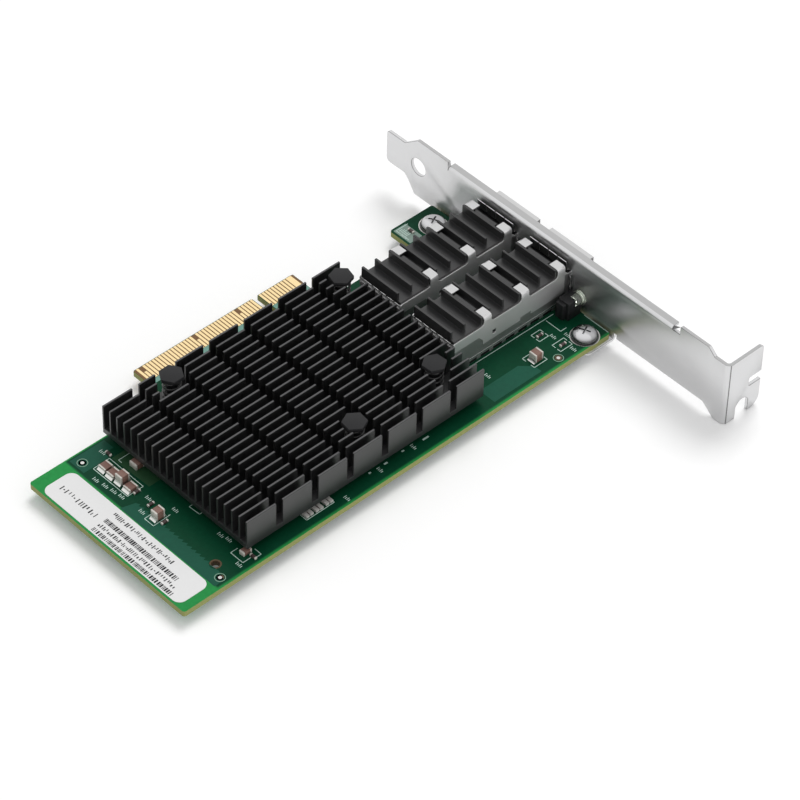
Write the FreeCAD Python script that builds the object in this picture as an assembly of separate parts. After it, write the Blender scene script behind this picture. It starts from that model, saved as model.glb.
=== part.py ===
import FreeCAD, Part
import math
import os

V = FreeCAD.Vector

# ---------------------------------------------------------------- driving dimensions, mm
# Working axes: X along the board from its free end to the bracket, Y across it towards
# the edge connector, Z up from the board's component face. The export moves this to the
# row frame, whose origin is the centre of the foot of the whole part's bounding box.

# circuit board
BOARD_LENGTH = 139.2
BOARD_WIDTH = 55.94
BOARD_THICK = 1.6
EAR_LENGTH = 14.9
EAR_REACH = 8.16
EAR_ROOT_R = 1.5
CORNER_R = 0.8
TONGUE_X0 = 42.9
TONGUE_LENGTH = 52.2
TONGUE_REACH = 12.96
TONGUE_CHAMFER = 0.6
KEY_FROM_END = 11.65
KEY_WIDTH = 1.9
KEY_DEPTH = 7.9
KEY_LEAD = 0.35
BEVEL_RUN = 0.5
BEVEL_DROP = 0.4

# edge contacts
PAD_PITCH = 1.0
PAD_WIDTH = 0.7
PAD_THICK = 0.06
PAD_LENGTH = 5.15
PAD_TIP_GAP = 0.5
PAD_SHORTER = 2.0
PAD_FIRST = 1.1
PAD_COUNT = 38
SHORT_PADS = (1, 18, 32)
PAD2_FIRST = 0.55
PAD2_COUNT = 9
WIDE_PAD_EXTRA = 1.0

# tooling holes: from the free end, from the near edge
TOOLING_HOLE = (15.45, 6.65)
TOOLING_R = 1.3

# free-end label
LABEL_EDGE = 0.6
LABEL_WIDTH = 9.65
LABEL_Y0 = 2.5
LABEL_END_GAP = 3.74
LABEL_RADIUS = 2.2
LABEL_THICK = 0.1

# bracket sheet and where it stands
BRACKET_GAP = 0.43
BRACKET_SHEET = 0.9
BRACKET_TOP = 17.26
BRACKET_LOW = -1.16
BRACKET_TIP = 81.75
BRACKET_FOLD = -38.27
BRACKET_FOOT = -4.33
EDGE_R = 0.6

# bracket's low end: foot, its slope, and the step down to the fold
FOOT_END = -34.7
FOOT_SLOPE = 3.7
STEP_Y = -31.3
STEP_RUN = 2.2
FOLD_TOP = 15.3
FOLD_REACH = 11.43
FOLD_R = 1.6
SLOT_FROM_PLATE = 6.2
SLOT_WIDTH = 4.42
SLOT_ARCH = 0.9
NOTCH_LOW = 3.9
NOTCH_HIGH = 6.7
NOTCH_DEPTH = 4.3
TAB_CORNER_R = 3.0

# bracket's flange and the relief beside it
FLANGE_Y0 = -19.3
FLANGE_Y1 = 59.3
FLANGE_TOP = 15.6
FLANGE_REACH = 1.57
FLANGE_R = 1.2
RELIEF = 2.6
RELIEF_DEPTH = 0.9

# bracket's tongue: neck and hole
SLANT_Y = 70.5
NECK_Y = 75.1
TONGUE_LOW = 3.6
TONGUE_HIGH = 13.6
NECK_FOOT_Y = 71.3
NECK_BEND_Y = 73.6
NECK_BEND_Z = 2.2
TONGUE_HOLE_FROM_TIP = 11.75
TONGUE_HOLE_Z = 8.65
TONGUE_HOLE_R = 2.6

# bracket's board tabs and the relief in its lower edge
TAB_REACH = 10.3
TAB_WIDTH = 8.4
TAB_R = 2.0
TAB_BEND_R = 1.2
EDGE_RELIEF_Y = -1.6
EDGE_RELIEF_WIDTH = 0.9
EDGE_RELIEF_TOP = 0.2

# bracket screws
SCREW_BACK = 5.5
SCREW_FAR_BACK = 5.2
SCREW_NEAR_Y = 3.6
SCREW_FAR_EDGE = 6.0
SCREW_HEAD_R = 3.3
SCREW_HEAD_H = 2.2
SCREW_RIM = 0.6
SCREW_R = 1.45
SCREW_GAP = 0.2
SCREW_PAST_TAB = 1.0
TAB_HOLE_GAP = 0.05

# port cages
CAGE_FROM_EDGE = 14.59
CAGE_PITCH = 18.85
CAGE_OUT = 7.07
CAGE_LENGTH = 47.7
CAGE_HALF = 7.1
CAGE_TOP = 9.8
CAGE_SHEET = 0.3
CAGE_PINS = (2.6, 13.1, 24.1, 35.1)
CAGE_PIN_WIDTH = 0.8
CAGE_PIN_LENGTH = 2.5
CAGE_PIN_GAP = 0.12
WINDOW_BACK = 4.1
WINDOW_LENGTH = 26.0
WINDOW_HALF = 5.0
LATCH_IN = 3.4
LATCH_LENGTH = 2.8
LATCH_HALF = 1.5
GUIDE_IN = 2.6
GUIDE_LENGTH = 3.5
GUIDE_LOW = 3.5
GUIDE_HEIGHT = 2.0
GUIDE_THICK = 0.25
APERTURE_GAP = 0.5

# sockets and their contacts
SOCKET_BACK = 1.6
SOCKET_LENGTH = 10.9
SOCKET_HALF = 5.6
SOCKET_TOP = 6.2
SOCKET_SLOT_DEPTH = 6.9
SOCKET_SLOT_HALF = 4.7
SOCKET_SLOT_LOW = 2.6
SOCKET_SLOT_HIGH = 4.3
SOCKET_STEP = 1.6
SOCKET_CLEAR = 1.4
BEAM_COUNT = 10
BEAM_PITCH = 0.8
BEAM_WIDTH = 0.4
BEAM_THICK = 0.25
BEAM_LENGTH = 6.0

# shield collars
COLLAR_SHEET = 0.2
COLLAR_BAND = 2.0
COLLAR_OVERLAP = 0.3
FINGER_WIDTH = 2.9
FINGER_PITCH = 3.3
SIDE_FINGER_PITCH = 3.0
SIDE_FINGER_WIDTH = 2.3
FINGER_BOW = 0.55
FINGER_BOW_IN = 4.0
FINGER_REST = 0.15
FINGER_REST_IN = 6.4
FINGER_PAST = 0.3
FINGER_FLARE = 1.0
TOP_FINGER_FLARE = 3.2
FINGER_FLARE_RUN = 0.5
LOW_FINGER_BOW = 0.4
LOW_FINGER_REST = 0.1

# cage heat sinks: fins measured from the cage's back
PORT_SINK_LENGTH = 38.0
PORT_SINK_BASE = 1.1
PORT_SINK_TOP = 13.2
PORT_PAD_GAP = 0.3
PORT_PAD_DROP = 0.6
PORT_FIN_THICK = 0.65
PORT_FINS = (0.0, 4.4, 9.1, 12.8, 17.4, 21.9, 25.5, 29.9, 34.4)
PORT_TAB_FINS = (2, 5, 8)
PORT_FIN_SHORT = 1.2
RIB_THICK = 1.2
RIB_HALF = 3.6
RIB_LOWER = 0.35
SEAT_IN = 1.1
SEAT_LENGTH = 1.8

# clips over the cage heat sinks
CLIP_SHEET = 0.3
CLIP_LENGTH = 37.7
CLIP_OVER_CAGE = 0.6
CLIP_LOW = 4.3
CLIP_ARM_LOW = 7.4
CLIP_STEP = 5.6
CLIP_STEP_RUN = 1.5
CLIP_TAB_GAP = 0.2
CLIP_TAB_WIDTH = 2.5
CLIP_TAB_TOP = 13.1
CLIP_TAB_REACH = 3.2
CLIP_BEND = 0.75
CLIP_FOOT = 0.8
CLIP_FOOT_RISE = 0.9
CLIP_NOTCH_LENGTH = 3.6
CLIP_NOTCH_RISE = 1.0
CLIP_WINDOW_IN = 3.2
CLIP_WINDOW = 1.2
CLIP_WINDOW_LOW = 5.9
CLIP_BAR_HEIGHT = 1.5
LANCE_OUT = 0.15

# main heat sink
SINK_X0 = 22.8
SINK_END_GAP = 0.8
SINK_Y0 = 3.85
SINK_FAR_GAP = 0.14
SINK_BOTTOM = 1.85
SINK_BASE = 1.6
SINK_TOP = 10.7
FIN_THICK = 0.55
FIN_ROWS = 21
FIN_COLUMNS = 7
FIN_GAP = 2.1
FIN_SCRAP = 0.6

# push pins
PIN_HEAD_ACROSS = 6.4
PIN_HEAD_TOP = 11.2
PIN_HEAD_THICK = 1.0
PIN_SHANK_R = 1.5
PIN_TIP_R = 1.95
PIN_TIP_END_R = 0.9
PIN_TIP_LENGTH = 2.0
PIN_SPLIT = 0.6
PIN_SIDES = 12
PIN_HOLE_GAP = 0.1
SPRING_R = 2.2
SPRING_WIRE = 0.5
SPRING_TURNS = 3
SPRING_STEPS = 9

# controller package under the sink
CHIP_FROM_SINK = 41.2
CHIP_Y = 31.0
CHIP_SIDE = 25.0
CHIP_THICK = 0.9
LID_SIDE = 20.0
LID_THICK = 0.7
PAD_INSET = 0.5

# port lamp
LAMP_BACK = 0.83
LAMP_LENGTH = 4.5
LAMP_Y0 = 10.1
LAMP_WIDTH = 3.6
LAMP_TOP = 5.6
LAMP_HEEL = 0.9
LAMP_HEEL_INSET = 1.0
LAMP_HEEL_LOWER = 0.7
LAMP_LEAD = 0.5
LAMP_LEAD_IN = 0.9
LAMP_LEAD_GAP = 0.1
LAMP_LEAD_PAST = 0.9
LENS_IN = 0.9
LENS_Z = 4.6
LENS_RIM_R = 1.95
LENS_RIM = 0.7
LENS_R = 1.4
LENS_DEPTH = 2.0
LENS_PAST = 0.4
LENS_GAP = 0.15

# small parts by the free end: x0, x1, y0, y1, height
LOW_CAPS = (
    (15.35, 18.0, 46.35, 48.8, 1.1), (15.3, 17.95, 43.35, 45.8, 1.1),
    (15.25, 17.95, 37.2, 39.65, 1.1), (21.4, 24.0, 42.0, 44.5, 1.6),
    (21.7, 24.3, 3.9, 5.5, 1.2),
)
TALL_CAPS = ((15.5, 18.15, 40.5, 42.8, 2.6), (14.05, 16.7, 26.0, 28.1, 2.6))
CHIPS_ALONG_X = ((16.9, 36.5), (16.7, 31.2), (15.3, 24.6), (42.0, 4.15), (45.0, 4.05), (48.2, 4.1))
CHIPS_ALONG_Y = ((20.1, 50.65), (23.4, 2.4))
# small parts by the bracket, measured back from the board's end
END_TALL_CAP = (21.4, 4.7, 2.6, 2.4, 2.4)
END_CHIPS_ALONG_X = ((13.8, 11.0), (11.8, 4.9))
END_CHIP_ON_EAR = (11.0, 4.36)
CHIP_LENGTH = 2.0
CHIP_WIDTH = 0.7
CHIP_HEIGHT = 0.55
CHIP_END = 0.4
CAP_END = 0.45

# underside parts
MEMORY = (30.0, 35.3, 20.0, 25.3, 1.5)
CRYSTAL = (52.0, 57.0, 44.0, 47.2, 1.2)
INDUCTOR_FROM_CAGE = 8.1
INDUCTOR_YS = (8.0, 52.6)
INDUCTOR_SIDE = 5.0
INDUCTOR_CORNER = 0.7
INDUCTOR_H = 1.9

# ---------------------------------------------------------------- sizes that follow
TONGUE_X1 = TONGUE_X0 + TONGUE_LENGTH
TONGUE_Y = BOARD_WIDTH + TONGUE_REACH
KEY_X0 = TONGUE_X1 - KEY_FROM_END - KEY_WIDTH
KEY_X1 = TONGUE_X1 - KEY_FROM_END
EAR_X = BOARD_LENGTH - EAR_LENGTH
EAR_Y = BOARD_WIDTH + EAR_REACH
BRACKET_IN = BOARD_LENGTH + BRACKET_GAP
BRACKET_OUT = BRACKET_IN + BRACKET_SHEET
SCREWS = ((BOARD_LENGTH - SCREW_BACK, SCREW_NEAR_Y), (BOARD_LENGTH - SCREW_FAR_BACK, EAR_Y - SCREW_FAR_EDGE))
CAGE_X1 = BRACKET_OUT + CAGE_OUT
CAGE_X0 = CAGE_X1 - CAGE_LENGTH
CAGE_YS = (BOARD_WIDTH - CAGE_FROM_EDGE, BOARD_WIDTH - CAGE_FROM_EDGE - CAGE_PITCH)
CAGE_BORE = CAGE_HALF - CAGE_SHEET
SOCKET_X0 = CAGE_X0 + SOCKET_BACK
SOCKET_X1 = SOCKET_X0 + SOCKET_LENGTH
CLIP_TOP = CAGE_TOP + CLIP_OVER_CAGE
CLIP_TAB_XS = tuple(CAGE_X0 + PORT_FINS[k] + PORT_FIN_THICK + CLIP_TAB_GAP for k in PORT_TAB_FINS)
SINK_X1 = CAGE_X0 - SINK_END_GAP
SINK_Y1 = BOARD_WIDTH - SINK_FAR_GAP
SINK_FLOOR = SINK_BOTTOM + SINK_BASE
FIN_LENGTH = (SINK_X1 - SINK_X0 - (FIN_COLUMNS - 1) * FIN_GAP) / FIN_COLUMNS
FIN_PITCH = (SINK_Y1 - SINK_Y0 - FIN_THICK) / (FIN_ROWS - 1)
PIN_NECK = PIN_HEAD_TOP - PIN_HEAD_THICK
CHIP_X = SINK_X0 + CHIP_FROM_SINK
LAMP_X1 = BRACKET_IN - LAMP_BACK
LAMP_X0 = LAMP_X1 - LAMP_LENGTH
LAMP_Y1 = LAMP_Y0 + LAMP_WIDTH
LENS_Y = LAMP_Y0 + LENS_IN

# push pins: x, y, turn of the hexagon
PINS = (
    (SINK_X0 + 19.1, SINK_Y1 - 3.1, 1.0),
    (SINK_X1 - 3.5, SINK_Y1 - 4.7, 16.0),
    (SINK_X0 + 40.8, SINK_Y0 + 7.65, 23.0),
    (SINK_X1 - 7.7, SINK_Y0 + 9.5, 34.0),
)
# how far each pin's three rows of fins stop before and after its axis, far row first
PIN_CLEARANCES = (
    ((2.8, 3.7), (4.4, 4.5), (5.8, 3.7)),
    ((3.2, 3.6), (3.2, 3.6), (1.5, 3.6)),
    ((2.3, 2.4), (3.2, 2.4), (2.5, 2.4)),
    ((3.4, 4.7), (3.4, 4.3), (3.4, 1.5)),
)


# ---------------------------------------------------------------- shape helpers
def block(x0, x1, y0, y1, z0, z1):
    """Box between two opposite corners."""
    return Part.makeBox(x1 - x0, y1 - y0, z1 - z0, V(x0, y0, z0))


def rod(x, y, z0, z1, r):
    """Upright cylinder."""
    return Part.makeCylinder(r, z1 - z0, V(x, y, z0))


def pipe(x0, x1, y, z, r):
    """Cylinder lying along X."""
    return Part.makeCylinder(r, x1 - x0, V(x0, y, z), V(1, 0, 0))


def on_xy(z):
    """Places plane coordinates on a level plane."""
    return lambda a, b: V(a, b, z)


def on_yz(x):
    """Places plane coordinates on a plane across X."""
    return lambda a, b: V(x, a, b)


def on_xz(y):
    """Places plane coordinates on a plane across Y."""
    return lambda a, b: V(a, y, b)


def outline(corners, place):
    """Face whose corners are (a, b) or (a, b, radius), rounded where a radius is given."""
    count = len(corners)
    spans = []
    for i in range(count):
        here = V(corners[i][0], corners[i][1], 0)
        radius = corners[i][2] if len(corners[i]) > 2 else 0
        if radius == 0:
            spans.append((here, None, here))
            continue
        before = corners[i - 1]
        after = corners[(i + 1) % count]
        back = V(before[0], before[1], 0) - here
        ahead = V(after[0], after[1], 0) - here
        back.normalize()
        ahead.normalize()
        half = back.getAngle(ahead) / 2
        run = radius / math.tan(half)
        middle = back + ahead
        middle.normalize()
        centre = here + middle * (radius / math.sin(half))
        spans.append((here + back * run, centre - middle * radius, here + ahead * run))
    edges = []
    for i in range(count):
        start, arc_mid, end = spans[i]
        following = spans[(i + 1) % count][0]
        if arc_mid is not None:
            arc = Part.Arc(place(start.x, start.y), place(arc_mid.x, arc_mid.y), place(end.x, end.y))
            edges.append(arc.toShape())
        if (following - end).Length > 1e-6:
            edges.append(Part.makeLine(place(end.x, end.y), place(following.x, following.y)))
    return Part.Face(Part.Wire(edges))


def plate(corners, z0, z1):
    """Level plate with a rounded outline."""
    return outline(corners, on_xy(z0)).extrude(V(0, 0, z1 - z0))


def wall(corners, x0, x1):
    """Plate standing across X; corners are (y, z)."""
    return outline(corners, on_yz(x0)).extrude(V(x1 - x0, 0, 0))


def strip(corners, y0, y1):
    """Sheet profile in (x, z) drawn out along Y."""
    return outline(corners, on_xz(y0)).extrude(V(0, y1 - y0, 0))


def fused(shapes):
    """One solid from pieces that share faces."""
    whole = shapes[0].fuse(shapes[1:]) if len(shapes) > 1 else shapes[0]
    return whole.removeSplitter()


def group(shapes):
    """Separate solids kept side by side in one node."""
    return Part.makeCompound(shapes)


def below(x0, x1, y0, y1, h):
    """Block against the board's underside."""
    return block(x0, x1, y0, y1, -BOARD_THICK - h, -BOARD_THICK)


# ---------------------------------------------------------------- circuit board
def board_outline():
    """Board edge with tongue, key notch and ear; a corner's third value is its radius."""
    key_end = TONGUE_Y - KEY_DEPTH
    key_r = 0.49 * KEY_WIDTH
    return [
        (0, 0, CORNER_R), (BOARD_LENGTH, 0, CORNER_R), (BOARD_LENGTH, EAR_Y, CORNER_R),
        (EAR_X, EAR_Y, CORNER_R), (EAR_X, BOARD_WIDTH, EAR_ROOT_R),
        (TONGUE_X1, BOARD_WIDTH, CORNER_R), (TONGUE_X1, TONGUE_Y - TONGUE_CHAMFER),
        (TONGUE_X1 - TONGUE_CHAMFER, TONGUE_Y),
        (KEY_X1 + KEY_LEAD, TONGUE_Y), (KEY_X1, TONGUE_Y - KEY_LEAD),
        (KEY_X1, key_end, key_r), (KEY_X0, key_end, key_r),
        (KEY_X0, TONGUE_Y - KEY_LEAD), (KEY_X0 - KEY_LEAD, TONGUE_Y),
        (TONGUE_X0 + TONGUE_CHAMFER, TONGUE_Y), (TONGUE_X0, TONGUE_Y - TONGUE_CHAMFER),
        (TONGUE_X0, BOARD_WIDTH, CORNER_R), (0, BOARD_WIDTH, CORNER_R),
    ]


def tip_bevels():
    """Wedges that thin the tongue's tip on both faces."""
    wedges = []
    for face, way in ((0, 1), (-BOARD_THICK, -1)):
        corners = [
            (TONGUE_Y - BEVEL_RUN, face), (TONGUE_Y + BEVEL_RUN, face - 2 * way * BEVEL_DROP),
            (TONGUE_Y + BEVEL_RUN, face + way * BEVEL_DROP), (TONGUE_Y - BEVEL_RUN, face + way * BEVEL_DROP),
        ]
        wedges.append(wall(corners, TONGUE_X0 - BEVEL_RUN, TONGUE_X1 + BEVEL_RUN))
    return wedges


def round_holes():
    """Centre and radius of every round hole in the board."""
    holes = [(TOOLING_HOLE[0], TOOLING_HOLE[1], TOOLING_R)]
    holes += [(x, y, SCREW_R + SCREW_GAP) for x, y in SCREWS]
    holes += [(x, y, PIN_SHANK_R + PIN_HOLE_GAP) for x, y, turn in PINS]
    return holes


def circuit_board():
    """Board with its tongue bevelled, round holes drilled and slots for the cages' pins and lamp's legs."""
    low = -2 * BOARD_THICK
    cuts = tip_bevels()
    cuts += [rod(x, y, low, BOARD_THICK, r) for x, y, r in round_holes()]
    long_half = CAGE_PIN_WIDTH / 2 + CAGE_PIN_GAP
    short_half = CAGE_SHEET / 2 + CAGE_PIN_GAP
    for x, y in cage_pin_places():
        cuts.append(block(x - long_half, x + long_half, y - short_half, y + short_half, low, BOARD_THICK))
    reach = LAMP_LEAD / 2 + LAMP_LEAD_GAP
    for x, y in lead_places():
        cuts.append(block(x - reach, x + reach, y - reach, y + reach, low, BOARD_THICK))
    return plate(board_outline(), -BOARD_THICK, 0).cut(cuts)


def contact_row(z0, z1, short):
    """One face's row of edge contacts, each a flat bar on the board."""
    y1 = TONGUE_Y - PAD_TIP_GAP
    y0 = y1 - PAD_LENGTH
    half = PAD_WIDTH / 2
    bars = []
    for k in range(PAD_COUNT):
        x = TONGUE_X0 + PAD_FIRST + k * PAD_PITCH
        tip = y1 - PAD_SHORTER if short and k in SHORT_PADS else y1
        bars.append(block(x - half, x + half, y0, tip, z0, z1))
    for k in range(PAD2_COUNT):
        x = KEY_X1 + PAD2_FIRST + k * PAD_PITCH
        bars.append(block(x - half, x + half, y0, y1, z0, z1))
    start = KEY_X1 + PAD2_FIRST + PAD2_COUNT * PAD_PITCH - half
    bars.append(block(start, start + PAD_WIDTH + WIDE_PAD_EXTRA, y0, y1, z0, z1))
    return group(bars)


def board_label():
    """Thin sticker with rounded corners along the free end."""
    x0 = LABEL_EDGE
    x1 = LABEL_EDGE + LABEL_WIDTH
    y0 = LABEL_Y0
    y1 = BOARD_WIDTH - LABEL_END_GAP
    r = LABEL_RADIUS
    return plate([(x0, y0, r), (x1, y0, r), (x1, y1, r), (x0, y1, r)], 0, LABEL_THICK)


# ---------------------------------------------------------------- main cooling
def fin_spans(row, column):
    """Lengths of fin left in one place once the pins' clearances are taken out."""
    start = SINK_X0 + column * (FIN_LENGTH + FIN_GAP)
    spans = [(start, start + FIN_LENGTH)]
    for k in range(len(PINS)):
        x, y, turn = PINS[k]
        middle_row = int((y - SINK_Y0) / FIN_PITCH + 0.25)
        place = middle_row + 1 - row
        if place not in (0, 1, 2):
            continue
        before, after = PIN_CLEARANCES[k][place]
        left = [(a, min(b, x - before)) for a, b in spans]
        right = [(max(a, x + after), b) for a, b in spans]
        spans = [s for s in left + right if s[1] - s[0] > FIN_SCRAP]
    return spans


def main_heat_sink():
    """Base plate with rows of short fins, cut back and drilled at the four pins."""
    base = block(SINK_X0, SINK_X1, SINK_Y0, SINK_Y1, SINK_BOTTOM, SINK_FLOOR)
    base = base.cut([rod(x, y, 0, SINK_TOP, PIN_SHANK_R + 2 * PIN_HOLE_GAP) for x, y, turn in PINS])
    fins = []
    for row in range(FIN_ROWS):
        y0 = SINK_Y0 + row * FIN_PITCH
        for column in range(FIN_COLUMNS):
            for a, b in fin_spans(row, column):
                fins.append(block(a, b, y0, y0 + FIN_THICK, SINK_FLOOR, SINK_TOP))
    return base.fuse(fins)


def many_sided(x, y, r, sides, turn):
    """Corners of a regular outline about (x, y)."""
    corners = []
    for k in range(sides):
        angle = math.radians(turn + 360 * k / sides)
        corners.append((x + r * math.cos(angle), y + r * math.sin(angle)))
    return corners


def push_pin(x, y, turn):
    """Hex-headed pin with a split, tapered tip under the board."""
    half_head = PIN_HEAD_ACROSS / 2
    head = plate(many_sided(x, y, half_head, 6, turn), PIN_NECK, PIN_HEAD_TOP)
    shank = plate(many_sided(x, y, PIN_SHANK_R, PIN_SIDES, turn), -BOARD_THICK, PIN_NECK)
    tip_low = -BOARD_THICK - PIN_TIP_LENGTH
    rings = []
    for r, z in ((PIN_TIP_END_R, tip_low), (PIN_TIP_R, -BOARD_THICK)):
        rings.append(outline(many_sided(x, y, r, PIN_SIDES, turn), on_xy(z)).OuterWire)
    tip = Part.makeLoft(rings, True, True)
    half = PIN_SPLIT / 2
    split = block(x - half, x + half, y - half_head, y + half_head, tip_low - half, 0)
    return fused([head, shank, tip]).cut(split)


def coil_spring(x, y, z0, z1):
    """Coil of square wire, drawn as short straight lengths."""
    half = SPRING_WIRE / 2
    total = SPRING_STEPS * SPRING_TURNS
    rise = (z1 - z0 - SPRING_WIRE) / total
    rings = []
    for k in range(total + 1):
        angle = 2 * math.pi * k / SPRING_STEPS
        z = z0 + half + rise * k
        ring = []
        for dr, dz in ((-half, -half), (half, -half), (half, half), (-half, half)):
            r = SPRING_R + dr
            ring.append(V(x + r * math.cos(angle), y + r * math.sin(angle), z + dz))
        rings.append(ring)
    faces = [Part.Face(Part.makePolygon(rings[0][::-1] + [rings[0][3]]))]
    faces.append(Part.Face(Part.makePolygon(rings[-1] + [rings[-1][0]])))
    for k in range(total):
        for i in range(4):
            j = (i + 1) % 4
            a, b = rings[k][i], rings[k][j]
            c, d = rings[k + 1][j], rings[k + 1][i]
            faces.append(Part.Face(Part.makePolygon([a, b, c, a])))
            faces.append(Part.Face(Part.makePolygon([a, c, d, a])))
    solid = Part.Solid(Part.Shell(faces))
    if solid.Volume < 0:
        solid.reverse()
    return solid


def controller_layer(side, z0, z1):
    """Square layer of the package under the sink."""
    h = side / 2
    return block(CHIP_X - h, CHIP_X + h, CHIP_Y - h, CHIP_Y + h, z0, z1)


# ---------------------------------------------------------------- ports
def cage_pin_places():
    """Centres of the flat pins under both cages' walls."""
    places = []
    for yc in CAGE_YS:
        for along in CAGE_PINS:
            for side in (-1, 1):
                places.append((CAGE_X0 + along, yc + side * (CAGE_HALF - CAGE_SHEET / 2)))
    return places


def latch_opening(yc):
    """Three-cornered latch opening in the cage floor just inside the mouth."""
    point = CAGE_X1 - LATCH_IN - LATCH_LENGTH
    back = CAGE_X1 - LATCH_IN
    corners = [(point, yc), (back, yc - LATCH_HALF), (back, yc + LATCH_HALF)]
    return plate(corners, -CAGE_SHEET, 2 * CAGE_SHEET)


def port_cage(yc):
    """Folded sheet cage: mouth at the bracket end, window above, open floor at the back."""
    t = CAGE_SHEET
    shell = block(CAGE_X0, CAGE_X1, yc - CAGE_HALF, yc + CAGE_HALF, 0, CAGE_TOP)
    hollow = block(CAGE_X0 + t, CAGE_X1 + t, yc - CAGE_BORE, yc + CAGE_BORE, t, CAGE_TOP - t)
    floor_gap = block(CAGE_X0 + t, SOCKET_X1 + SOCKET_CLEAR, yc - CAGE_BORE, yc + CAGE_BORE, -t, 2 * t)
    window_x = CAGE_X0 + WINDOW_BACK
    window = block(window_x, window_x + WINDOW_LENGTH, yc - WINDOW_HALF, yc + WINDOW_HALF,
                   CAGE_TOP - 2 * t, CAGE_TOP + t)
    pieces = [shell.cut([hollow, floor_gap, window, latch_opening(yc)])]
    for x, y in cage_pin_places():
        if abs(y - yc) < CAGE_HALF:
            half = CAGE_PIN_WIDTH / 2
            pieces.append(block(x - half, x + half, y - t / 2, y + t / 2, -CAGE_PIN_LENGTH, t))
    guide_x = CAGE_X1 - GUIDE_IN - GUIDE_LENGTH
    for side in (-1, 1):
        edges = sorted((yc + side * CAGE_BORE, yc + side * (CAGE_BORE - GUIDE_THICK)))
        pieces.append(block(guide_x, guide_x + GUIDE_LENGTH, edges[0], edges[1],
                            GUIDE_LOW, GUIDE_LOW + GUIDE_HEIGHT))
    return fused(pieces)


def bent_ribbon(points, thick):
    """Closed (x, offset) profile of a bent strip whose inner side follows the given line."""
    turned = []
    for (x0, o0), (x1, o1) in zip(points, points[1:]):
        length = math.hypot(x1 - x0, o1 - o0)
        turned.append(((o1 - o0) / length, (x0 - x1) / length))
    outer = []
    for i in range(len(points)):
        before = turned[max(i - 1, 0)]
        after = turned[min(i, len(turned) - 1)]
        across = (before[0] + after[0], before[1] + after[1])
        reach = thick / (across[0] * after[0] + across[1] * after[1])
        outer.append((points[i][0] + across[0] * reach, points[i][1] + across[1] * reach))
    return points + outer[::-1]


def shield_collar(yc):
    """Band round the cage mouth with bowed fingers that reach back through the bracket."""
    t = COLLAR_SHEET
    h = CAGE_HALF
    lap = COLLAR_OVERLAP
    band_x = CAGE_X1 - COLLAR_BAND
    outer = block(band_x, CAGE_X1 + t, yc - h - t, yc + h + t, -t, CAGE_TOP + t)
    core = block(band_x - t, CAGE_X1, yc - h, yc + h, 0, CAGE_TOP)
    mouth = block(band_x, CAGE_X1 + 2 * t, yc - CAGE_BORE, yc + CAGE_BORE, CAGE_SHEET, CAGE_TOP - CAGE_SHEET)
    pieces = [outer.cut([core, mouth])]
    reach = [
        (band_x + lap, 0.0), (CAGE_X1 - FINGER_BOW_IN, FINGER_BOW), (CAGE_X1 - FINGER_REST_IN, FINGER_REST),
        (BRACKET_IN - FINGER_PAST, FINGER_REST),
    ]
    lip_x = BRACKET_IN - FINGER_PAST - FINGER_FLARE_RUN
    top_finger = bent_ribbon(reach + [(lip_x, TOP_FINGER_FLARE)], t)
    side_finger = bent_ribbon(reach + [(lip_x, FINGER_FLARE)], t)
    short_finger = bent_ribbon([
        (band_x + lap, 0.0), (CAGE_X1 - FINGER_BOW_IN, LOW_FINGER_BOW),
        (CAGE_X1 - FINGER_REST_IN, LOW_FINGER_REST),
    ], t)
    half = FINGER_WIDTH / 2
    for k in range(4):
        y = yc + (k - 1.5) * FINGER_PITCH
        pieces.append(strip([(x, CAGE_TOP + o) for x, o in top_finger], y - half, y + half))
        pieces.append(strip([(x, -o) for x, o in short_finger], y - half, y + half))
    half = SIDE_FINGER_WIDTH / 2
    for k in range(3):
        z = CAGE_TOP / 2 + (k - 1) * SIDE_FINGER_PITCH
        for side in (-1, 1):
            pieces.append(plate([(x, yc + side * (h + o)) for x, o in side_finger], z - half, z + half))
    return fused(pieces)


def port_socket(yc):
    """Moulded socket at the back of the cage with its card slot towards the mouth."""
    h = SOCKET_HALF
    step = SOCKET_STEP
    body = block(SOCKET_X0, SOCKET_X1, yc - h, yc + h, 0, SOCKET_TOP)
    slot = block(SOCKET_X1 - SOCKET_SLOT_DEPTH, SOCKET_X1 + step, yc - SOCKET_SLOT_HALF,
                 yc + SOCKET_SLOT_HALF, SOCKET_SLOT_LOW, SOCKET_SLOT_HIGH)
    nose = block(SOCKET_X1 - step, SOCKET_X1 + step, yc - 2 * h, yc + 2 * h,
                 SOCKET_TOP - 0.6 * step, SOCKET_TOP + step)
    heel = block(SOCKET_X0 - step, SOCKET_X0 + step, yc - 2 * h, yc + 2 * h,
                 SOCKET_TOP - step, SOCKET_TOP + step)
    return body.cut([slot, nose, heel])


def socket_contacts(yc):
    """Two rows of contact beams lying on the slot's floor and roof."""
    x1 = SOCKET_X1 - BEAM_WIDTH
    half = BEAM_WIDTH / 2
    beams = []
    for k in range(BEAM_COUNT):
        y = yc + (k - (BEAM_COUNT - 1) / 2) * BEAM_PITCH
        for z in (SOCKET_SLOT_LOW, SOCKET_SLOT_HIGH - BEAM_THICK):
            beams.append(block(x1 - BEAM_LENGTH, x1, y - half, y + half, z, z + BEAM_THICK))
    return group(beams)


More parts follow.
